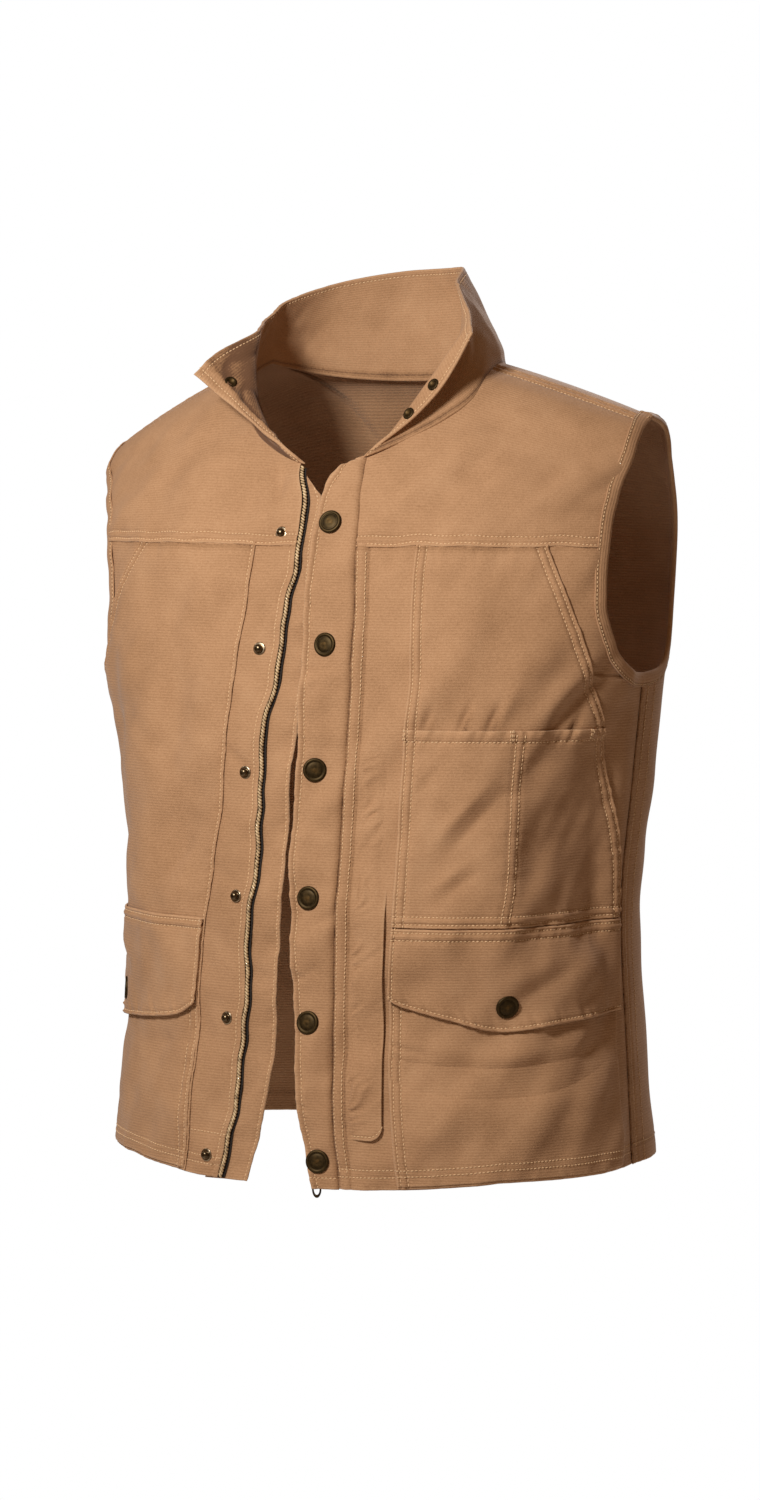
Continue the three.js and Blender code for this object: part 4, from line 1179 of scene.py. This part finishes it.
flap = dict(step=2.2, thick=1.6, height=3.9, inset=0.6, past=1, top=-444.5, lift=2.2, liftReach=11,
            snapDent=1.2, snapReach=16,
            sewn=[("bottom", (3,), 91, 0.4, 0.5, 16), ("near", (3,), 92, 0.4, 0.2),
                  ("top", (3, 9), 93, 0.45, 0.35)],
            paintedShade=[("bottom", (3,), 0.15), ("top", (3, 9), 0.2)])
flapEdges = columns("out left right", [
    [78, -497, -498],
    [90, -505, -513],
    [110, -511, -524],
    [126, -515, -527],
    [176, -526, -532],
    [222, -522, -535],
    [300, -517, -525],
])
flapFolds = columns("around level halfLength halfWidth lean height round", [
    [214, -487, 26, 6, 64, -1.9, 1.5],
    [203, -477, 30, 8, 60, 1.3, 2],
    [128, -480, 26, 9, 4, 0.8, 2],
    [150, -474, 22, 8, -4, -0.8, 2],
    [250, -492, 30, 12, 40, 0.9, 2],
    [104, -470, 22, 7, 8, -0.7, 2],
])


def flapBottom(side):
    return lambda around: along(flapEdges, side, sides[side] * around)


# pocket flaps: free along the lower edge, which stands off the pocket
def makeFlaps():
    edges = dict(near=singleEdge, far=plainEdge, bottom=doubleEdge, top=doubleEdge)
    made = {}
    for side, sign in sides.items():
        near = moved(panelInner(side), sign * flap["inset"])
        far = fixed(sign * (lower["far"] + flap["past"]))
        grid = layOut(flapBottom(side), fixed(flap["top"]), near, far, flap["step"], edges)
        a, l, gaps = grid["around"], grid["level"], grid["gaps"]
        height = flap["height"] + drape(a, l) + foldSum(flapFolds, sign * a, l)
        height = height + flap["lift"] * hill(gaps["bottom"], flap["liftReach"])
        height = height + 0.8 * hill(gaps["near"], 14)
        height = height - flap["snapDent"] * pressedIn(grid, "flap_snap_" + side, flap["snapReach"])
        height = height + 0.35 * ripple(a, 94, (26, 37, 52)) * hill(gaps["top"], 40) - hill(gaps["top"], 2.5)
        name = "flap_" + side
        rests = ["lower_pocket_%s_cloth" % side]
        made[side] = sew(name + "_cloth", name, grid, height, flap, 0.0, "hung", rests)
    return made


welt = dict(step=1.8, thick=1.3, top=-286, bottom=-612, fromSeam=11.5, slant=0.9, pucker=1.0, notch=17,
            corner=11, sunk=-1.9, rise=2.2, rows=[("bottom", (3,))])


# welt: rises out of the shell along its inner edge and top, puckered and notched there, and is free at its
# outer edge below
def makeWelt():
    edges = dict(near=singleEdge, far=singleEdge, bottom=singleEdge, top=plainEdge)
    near, far = moved(frontLine("seam"), welt["fromSeam"]), frontLine("welt")
    def bottom(around):
        past = np.clip((around - far(welt["bottom"]) + welt["corner"]) / welt["corner"], 0, 1)
        return welt["bottom"] + welt["corner"] * (1 - np.sqrt(np.maximum(0, 1 - 0.99 * past ** 2)))
    grid = layOut(bottom, fixed(welt["top"]), near, far, welt["step"], edges)
    a, l, gaps = grid["around"], grid["level"], grid["gaps"]
    grow = smoothstep(-395, -450, l)
    free = smoothstep(0, 14, gaps["far"]) * (1 - grow) + grow
    emerge = smoothstep(-1, 9, gaps["near"]) * smoothstep(0, 44, gaps["top"]) * free
    height = welt["sunk"] + (welt["rise"] + 0.8 * grow) * emerge + drape(a, l)
    height = height + 1.8 * grow * hill(gaps["far"], 13)
    slantwise = l - welt["slant"] * gaps["near"] + 7 * ripple(l, 104, (40, 67)) + 4 * rumple(a, l, 34, 105)
    waves = ripple(slantwise, 101, (11, 15, 23)) + 0.5 * ripple(slantwise, 102, (7, 9))
    waves = waves * (0.6 + 0.6 * rumple(a, l, 30, 106))
    strength = np.clip(0.6 + 0.6 * ripple(l, 103, (52, 83, 120)), 0.15, 1.3)
    strength = strength * smoothstep(0, 30, gaps["top"])
    notches = np.maximum(0, np.sin(2 * np.pi * slantwise / welt["notch"])) ** 5 * hill(gaps["near"] - 5, 5)
    height = height + welt["pucker"] * strength * waves * hill(gaps["near"] - 8, 19)
    height = height - 1.2 * strength * notches - 0.5 * hill(gaps["bottom"] - 3, 1)
    # painted shade in the notches and in the groove of the bottom row
    shades = 0.5 * notches * strength + 0.15 * hill(gaps["bottom"] - 3, 1.2)
    sew("welt_cloth", "welt_left", grid, height, welt, shades, "laid", ["front_left_cloth"])


# Zip

zipTop = dict(right=-neck["frontDepth"] - 1, hidden=-114)
guard = dict(step=2.6, thick=1.4, height=-4.2, underTeeth=16, sewn=[("far", (3,), 113, 0.3, 0.3)])


# zip guard: the cloth strip behind the right half of the zip
def makeGuard():
    def top(around):
        share = np.clip((around + 20) / 25, 0, 1)
        return -neck["frontDepth"] - neck["cornerDrop"] * share
    edges = dict(near=plainEdge, far=singleEdge, bottom=singleEdge, top=singleEdge)
    near = moved(frontLine("teeth"), -guard["underTeeth"])
    far = lambda level: along(frontLines, "guard", level) - 1.5 - 4.5 * hill(level + 360, 80)
    grid = layOut(fixed(hem["level"]), top, near, far, guard["step"], edges)
    a, l, gaps = grid["around"], grid["level"], grid["gaps"]
    height = guard["height"] + drape(a, l) + 0.5 * ripple(l, 111, (30, 47, 80)) * hill(gaps["far"], 20)
    height = height + 0.4 * rumple(a, l, 20, 112)
    # painted shade under the edge of the zip
    shades = 0.9 * hill(gaps["near"] - 14, 4)
    sew("zip_guard_cloth", "zip_guard_right", grid, height, guard, shades, "hung", ["front_right_cloth"])


# shown: how far the right tape shows beside its teeth, a dark strip that is partly painted shadow
tapes = dict(step=3, width=13, shown=2.9, half=0.4, depth=-2.6, round=0.5, edge=(0, 0.15, 0.5, 1.2))


# zip tapes: plain woven strips under the teeth
def makeTapes():
    hidden = moved(frontLine("placket"), zipSizes["hiddenFrom"])
    right = moved(teethLine, -tapes["width"]), moved(teethLine, tapes["shown"])
    left = moved(hidden, 1), moved(hidden, tapes["width"])
    strips = dict(right=(*right, zipTop["right"], "zip_guard_cloth"),
                  left=(*left, zipTop["hidden"], "front_left_cloth"))
    edges = dict.fromkeys(("near", "far", "bottom", "top"), tapes["edge"])
    for side, (near, far, top, rests) in strips.items():
        grid = layOut(fixed(hem["level"] + 1), fixed(top), near, far, tapes["step"], edges)
        angle = angleOf(grid["around"], grid["level"])
        base, normal = bareForm(angle, grid["level"]), formNormal(angle, grid["level"])
        height = tapes["depth"] + drape(grid["around"], grid["level"])
        half = tapes["half"] * roundOff(grid["gaps"], tapes["round"])
        outer, inner = (base + normal * (height + way * half)[..., None] for way in (1, -1))
        uv = np.stack([grid["around"], grid["level"]], axis=-1) * clothScale
        shades = dict(seam=0 * half, edge=0 * half)
        name = "zip_tape_" + side
        piece = dress(closedSheet(name + "_woven", outer, inner, normal, uv, shades), tape, "zip_tape", name)
        flat, area = flatSize(base)
        declare(piece, flat, "stretched", [rests], area=area)


tooth = dict(pitch=2.6, half=1.45, width=1.8, height=1.4, slant=0.75, depth=-0.2, hiddenDepth=-1.6,
             hiddenLow=-627)


# zip teeth: slanted beads along the edge of the tape, close together like a twisted cord
def makeTeeth():
    half, w, h = tooth["half"], tooth["width"], tooth["height"]
    shares = [(-1, 0), (-0.8, 0.62), (-0.35, 0.95), (0.35, 0.95), (0.8, 0.62), (1, 0)]
    local, *faces = spindle([[x * half, w * r, h * r, 0] for x, r in shares], 10)
    local[:, 0] += tooth["slant"] * local[:, 1]
    ends = np.abs(local[:, 0] - tooth["slant"] * local[:, 1]) / half
    # painted shade: darkest at each bead's ends, where the gaps between teeth fall, and along its sides
    paintedGapShade = np.clip(1 - np.abs(local[:, 2]) / h, 0, 1) * 0.3 + 0.7 * ends ** 3
    hidden = moved(frontLine("placket"), zipSizes["hiddenFrom"] + zipSizes["teethWidth"] / 2)
    runs = dict(right=(teethLine, zipTop["right"], hem["level"] + 2, tooth["depth"]),
                left=(hidden, zipTop["hidden"], tooth["hiddenLow"], tooth["hiddenDepth"]))
    for side, (line, top, bottom, depth) in runs.items():
        level = np.linspace(bottom, top, 600)
        around = line(level)
        angle = angleOf(around, level)
        normal = formNormal(angle, level)
        middle = bareForm(angle, level) + normal * (depth + drape(around, level))[:, None]
        points, *every = repeatAlong([(middle, normal)], tooth["pitch"], (local, *faces))
        shades = dict(seam=np.tile(paintedGapShade, len(points) // len(local)))
        name = "zip_teeth_" + side
        dress(newPiece(name + "_coil", points, *every, shades=shades), teethCream, "zip_teeth", name)


# Collar

collarStations = columns("turn topX topY topZ bow", [
    [-162, -115, -105, -12, 2],
    [-150, -104, -88, 6, 2],
    [-135, -84, -58, 23, 3],
    [-112, -97, -14, 36, 5],
    [-90, -96, 10, 47, 6],
    [-50, -66, 56, 66, 8],
    [0, 0, 72, 76, 8],
    [50, 46, 56, 77, 9],
    [90, 64, 10, 63, 9],
    [115, 85, -17, 50, 6],
    [135, 105, -46, 33, 3],
    [152, 119, -72, 20, 2],
])
collarSizes = dict(step=2.3, height=92, tuck=5, thick=2.6, lift=0.6, stitchAt=5)
collarRolls = columns("turn width x y z", [
    [143.5, 4.5, -4, -2, 2],
    [153, 6, 10.5, -5, -7],
])
rollFade = 1.1


def collarBase(turn):
    share, fall = np.abs(np.sin(np.radians(turn))), np.abs(np.cos(np.radians(turn)))
    ahead = np.abs(turn) > 90
    level = -np.where(ahead, neck["frontDepth"], neck["backDepth"]) * fall
    x = np.sign(turn) * shoulder["neckHalf"] * share ** np.where(ahead, neck["frontRound"], 1)
    angle = angleOfX(x + spread(turn), level)
    angle = np.where(ahead, angle, np.where(turn >= 0, 180, -180) - angle)
    return bareForm(angle, level) + formNormal(angle, level) * collarSizes["lift"]


# at each turn a bowed line from neckline to top edge, a quadratic Bezier, rolled over near the left end
def collarPoint(turn, up):
    column = lambda name: along(collarStations, name, turn)
    base, top = collarBase(turn), np.stack([column("topX"), column("topY"), column("topZ")], axis=-1)
    half = 0.5 * (base + top)
    half = half + unit(half * np.array([1, 1, 0])) * column("bow")[..., None]
    u = up[..., None]
    belly = np.maximum(0, np.sin(np.pi * np.clip(up, 0, 1))) ** rollFade
    rolls = zip(*collarRolls.values())
    rolled = sum((belly * hill(turn - at, width))[..., None] * np.array(by) for at, width, *by in rolls)
    return base * (1 - u) ** 2 + half * 2 * u * (1 - u) + top * u ** 2 + rolled


# collar: two-ply stand, edge stitched, with soft dents
def makeCollar():
    turns = np.linspace(collarStations["turn"][0], collarStations["turn"][-1], 600)
    reach = arcLength(collarPoint(turns, np.full(600, 0.5)))
    offset, share = stops(foldedEdge, foldedEdge, reach[-1], collarSizes["step"])
    tall = collarSizes["height"] + collarSizes["tuck"]
    rowOffset, rowShare = (a[:, None] for a in stops(plainEdge, foldedEdge, tall, collarSizes["step"]))
    s = (offset + share * reach[-1])[None, :]
    up = rowOffset + rowShare * tall - collarSizes["tuck"] + 0 * s
    s = s + 0 * up
    turn = np.interp(s, reach, turns)
    middle = collarPoint(turn, up / collarSizes["height"])
    normal = unit(np.cross(np.gradient(middle, axis=0), np.gradient(middle, axis=1)))
    outward = np.sum(normal * middle * np.array([1, 1, 0]), axis=-1).mean()
    normal = normal * np.sign(outward)
    gaps = dict(near=s, far=reach[-1] - s, bottom=up + collarSizes["tuck"], top=collarSizes["height"] - up)
    edges = dict(near=foldedEdge, far=foldedEdge, bottom=plainEdge, top=foldedEdge)
    grid = dict(around=s, level=up, up=up, gaps=gaps, edges=edges)
    height = 1.3 * rumple(s, up, 90, 121) + 0.5 * rumple(s, up, 36, 122) + 0.2 * rumple(s, up, 18, 123)
    lapel = smoothstep(-126, -140, turn)
    height = height + lapel * 0.7 * ripple(up + s, 126, (7, 10, 15)) * hill(gaps["near"] - 12, 6)
    creases = hill(rumple(s + up, 0.6 * (s - up), 40, 128), 0.16) * smoothstep(9, 14, gaps["near"])
    height = height + lapel * (1.2 * rumple(s, up, 30, 125) + 1.3 * creases)
    height = (height - 0.8 * lapel * hill(gaps["near"] - 10, 1.4)) * smoothstep(0, 14, up)
    press = sum(hill(gaps[edge] - collarSizes["stitchAt"], 0.9) for edge in ("near", "far", "top"))
    half = (collarSizes["thick"] / 2 - 0.35 * press) * roundOff(gaps, 1.4)
    puff = 0.3 * hill(gaps["top"], 9) * ripple(s, 124)
    outer, inner = (middle + normal * (height + puff + way * half)[..., None] for way in (1, -1))
    grid.update(outer=outer, inner=inner, normal=normal)
    uv = np.stack([s, up], axis=-1) * clothScale
    worn = hill(np.minimum.reduce([gaps["near"], gaps["far"], gaps["top"]]), 1.8)
    # a darker tone over the turned lapel, partly a darker facing cloth and partly painted shade; painted shade in
    # its creases, at the stitch rows and at the collar's foot
    facingAndShade = lapel * (smoothstep(8, 12, gaps["near"]) * (0.9 + 0.4 * rumple(s, up, 22, 127)) + 0.8 * creases)
    shades = dict(seam=0.15 * press + 0.8 * hill(up, 2.5) + facingAndShade, edge=worn)
    piece = dress(closedSheet("collar_cloth", outer, inner, normal, uv, shades), duck, "duck", "collar")
    rows = [collarSizes["stitchAt"]]
    faces = grid, dict(grid, outer=inner, normal=-normal)
    lines = [line for face in faces for edge in ("near", "far", "top") for line in rowLines(face, edge, rows)]
    extra = stitched("collar_stitches", lines)
    flat, area = flatSize(middle)
    declare(piece, flat, "stretched", ["back_cloth"], [extra], area=area)
    return grid


# Snaps, zip slider and pull

# closed turned shape: a profile of (radius, height) from axis to axis, round the cloth's normal
def turnedPiece(name, node, profile, place, normal, finish, slot, rub, segments=48):
    profile = np.array(profile, float)
    turn = 2 * np.pi * np.arange(segments) / segments
    radius, height = profile[1:-1, 0, None], profile[1:-1, 1, None]
    body = np.stack([radius * np.cos(turn), radius * np.sin(turn), height + 0 * turn], axis=-1).reshape(-1, 3)
    poles = np.array([[0, 0, profile[0, 1]], [0, 0, profile[-1, 1]]])
    local = np.concatenate([body, poles])
    side = unit(np.cross([0, 0, 1.0], normal))
    axes = np.stack([side, np.cross(normal, side), normal])
    shades = dict(edge=rub(np.linalg.norm(local[:, :2], axis=1)))
    faces = poledFaces(len(profile) - 2, segments)
    dress(newPiece(name, place + local @ axes, *faces, shades=shades), finish, slot, node)


capProfile = [
    [0, -0.4], [8.6, -0.4], [9.3, 0.0], [9.5, 0.7], [9.45, 1.4], [9.1, 2.0], [8.5, 2.35], [7.8, 2.45], [7.1, 2.3],
    [6.7, 1.95], [6.3, 1.9], [5.9, 2.1], [4.4, 2.35], [2.8, 2.5], [2.2, 2.42], [1.6, 2.5], [0, 2.58],
]
studProfile = [
    [0, -0.3], [4.8, -0.3], [5.2, 0.0], [5.2, 0.4], [4.9, 0.75], [4.2, 0.85], [3.3, 0.85], [2.8, 1.05],
    [2.85, 1.35], [3.1, 1.8], [3.25, 2.3], [3.2, 2.9], [2.9, 3.6], [2.25, 4.3], [1.2, 4.75], [0, 4.9],
]
socketProfile = [
    [0, -0.3], [4.7, -0.3], [5.1, 0.1], [5.1, 0.9], [4.6, 1.35], [3.6, 1.4], [2.9, 1.2], [2.5, 0.6], [0, 0.5],
]


# nearest point of a cloth grid to a node's middle, with the cloth's normal there
def seat(grid, node):
    centre = nodeCentre(node)
    away = np.linalg.norm(grid["outer"] - centre, axis=-1)
    i, j = np.unravel_index(np.argmin(away), away.shape)
    near = grid["normal"][max(i - 2, 0):i + 3, max(j - 2, 0):j + 3].reshape(-1, 3).mean(axis=0)
    normal = unit(near)
    offset = centre - grid["outer"][i, j]
    return grid["outer"][i, j] + offset - normal * np.dot(offset, normal), normal


def makeSnaps(placketGrid, frontGrid, yokeGrid, flapGrids, collarGrid):
    rubbed = lambda r: 0.7 * hill(r, 3.6) + 0.35 * hill(r - 8.3, 0.9)
    paleRim = lambda r: smoothstep(3.3, 4.2, r)
    aged = brass, "antique_brass", rubbed
    pale = paleMetal, "pale_metal", paleRim
    for number in range(1, len(snapLevels) + 1):
        node = "snap_cap_%d" % number
        turnedPiece(node + "_brass", node, capProfile, *seat(placketGrid, node), *aged)
        node = "snap_stud_%d" % number
        cloth = yokeGrid if number == 1 else frontGrid
        turnedPiece(node + "_metal", node, studProfile, *seat(cloth, node), *pale)
    for side in sides:
        node = "flap_snap_" + side
        turnedPiece(node + "_brass", node, capProfile, *seat(flapGrids[side], node), *aged)
    inside = dict(collarGrid, outer=collarGrid["inner"], normal=-collarGrid["normal"])
    for node in ("collar_socket_1", "collar_socket_2", "collar_stud"):
        turnedPiece(node + "_brass", node, socketProfile, *seat(inside, node), *aged)


pullSizes = dict(ring=3.4, wire=0.75, stretch=1.7)


# slider: a rounded body; pull: a stretched wire ring below it
def makeSlider():
    low, high = (np.array(c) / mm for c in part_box("zip_slider"))
    centre, size = (low + high) / 2, (high - low) / 2
    u, v = np.meshgrid(np.linspace(0, 2 * np.pi, 33)[:-1], np.linspace(-np.pi / 2, np.pi / 2, 15)[1:-1])
    soft = lambda x: np.sign(x) * np.abs(x) ** 0.45
    wide = soft(np.cos(v))
    body = np.stack([soft(np.cos(u)) * wide, soft(np.sin(u)) * wide, soft(np.sin(v))], axis=-1)
    poles = np.array([[0, 0, -1.0], [0, 0, 1.0]])
    points = centre + np.concatenate([body.reshape(-1, 3), poles]) * size
    slider = newPiece("zip_slider_brass", points, *poledFaces(*u.shape))
    turn = np.linspace(0, 2 * np.pi, 41)[:-1, None]
    wireTurn = np.linspace(0, 2 * np.pi, 13)[None, :-1]
    r = pullSizes["ring"] + pullSizes["wire"] * np.cos(wireTurn)
    ring = np.stack([r * np.cos(turn), pullSizes["wire"] * np.sin(wireTurn) + 0 * turn,
                     pullSizes["stretch"] * r * np.sin(turn)], axis=-1)
    points = nodeCentre("zip_pull") + ring.reshape(-1, 3)
    pull = newPiece("zip_pull_brass", points, cells(40, 12, True, True))
    for piece, node in ((slider, "zip_slider"), (pull, "zip_pull")):
        dress(piece, brass, "antique_brass", node)


# Stage

camera = dict(azimuth=27, distance=3.6, height=-0.0558, aimHeight=-0.3182, lens=105.6)
stage = dict(floor=-1.45, radius=1.9, sides=96, skyLight=0.19, skyColour=(1.0, 0.66, 0.4))
lights = dict(
    key_light=dict(azimuth=-3, rise=30, distance=1.8, size=0.3, power=30, colour=(1.0, 1.0, 1.0)),
    side_light=dict(azimuth=-68, rise=34, distance=2.4, size=0.4, power=3.0, colour=(1.0, 1.0, 1.0)),
    back_light=dict(azimuth=184, rise=26, distance=2.6, size=1.4, power=40, colour=(1.0, 1.0, 1.0)),
)


def makeStage():
    turn = math.radians(camera["azimuth"])
    data = bpy.data.cameras.new("camera")
    data.lens, data.sensor_width = camera["lens"], 36
    eye = bpy.data.objects.new("camera", data)
    away = camera["distance"]
    eye.location = (away * math.sin(turn), -away * math.cos(turn), camera["height"])
    aim = Vector((0, 0, camera["aimHeight"])) - eye.location
    eye.rotation_euler = aim.to_track_quat("-Z", "Y").to_euler()
    bpy.context.scene.collection.objects.link(eye)
    bpy.context.scene.camera = eye
    count = stage["sides"]
    k = np.arange(count)
    around = 2 * np.pi * k / count
    ring = np.stack([np.cos(around), np.sin(around), 0 * around], axis=-1) * stage["radius"] / mm
    points = np.concatenate([ring, np.zeros((1, 3))]) + np.array([0, 0, stage["floor"] / mm])
    fan = np.stack([k, (k + 1) % count, np.full(count, count)], axis=-1)
    floor = newPiece("floor", points, np.zeros((0, 4), int), fan)
    floor.data.materials.append(floorFinish())
    floor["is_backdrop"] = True
    for name, light in lights.items():
        lamp = bpy.data.lights.new(name, "AREA")
        lamp.energy, lamp.size, lamp.color = light["power"], light["size"], light["colour"]
        holder = bpy.data.objects.new(name, lamp)
        side, rise = math.radians(light["azimuth"]), math.radians(light["rise"])
        way = Vector((math.sin(side) * math.cos(rise), -math.cos(side) * math.cos(rise), math.sin(rise)))
        holder.location = way * light["distance"] + Vector((0, 0, camera["aimHeight"]))
        holder.rotation_euler = (-way).to_track_quat("-Z", "Y").to_euler()
        bpy.context.scene.collection.objects.link(holder)
    sky = bpy.data.worlds.new("sky")
    sky.use_nodes = True
    tree = sky.node_tree
    seen = tree.nodes.new("ShaderNodeLightPath")
    backdrop = tree.nodes.new("ShaderNodeBackground")
    backdrop.inputs["Color"].default_value = (1, 1, 1, 1)
    ambient = tree.nodes["Background"]
    ambient.inputs["Color"].default_value = (*stage["skyColour"], 1)
    ambient.inputs["Strength"].default_value = stage["skyLight"]
    mixed = tree.nodes.new("ShaderNodeMixShader")
    tree.links.new(seen.outputs["Is Camera Ray"], mixed.inputs[0])
    tree.links.new(ambient.outputs[0], mixed.inputs[1])
    tree.links.new(backdrop.outputs[0], mixed.inputs[2])
    tree.links.new(mixed.outputs[0], tree.nodes["World Output"].inputs["Surface"])
    bpy.context.scene.world = sky
    bpy.context.scene.view_settings.view_transform = "Standard"


makeStage()
print("stage made")
frontGrids = makeFronts()
yokeGrids = makeYokes()
makeBack()
makeBands()
print("shell made")
makePanels()
makeChestPocket()
makeLowerPockets()
flapGrids = makeFlaps()
makeWelt()
placketGrid = makePlacket()
print("pockets and storm flap made")
makeGuard()
makeTapes()
makeTeeth()
collarGrid = makeCollar()
print("zip and collar made")
makeSnaps(placketGrid, frontGrids["right"], yokeGrids["right"], flapGrids, collarGrid)
makeSlider()
print("snaps made")
for name, flat in madeSheets.items():
    print("sheet", name, flat)
triangleCount = sum(len(p.data.loops) - 2 * len(p.data.polygons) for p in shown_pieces() if p.type == "MESH")
print("triangles", triangleCount)
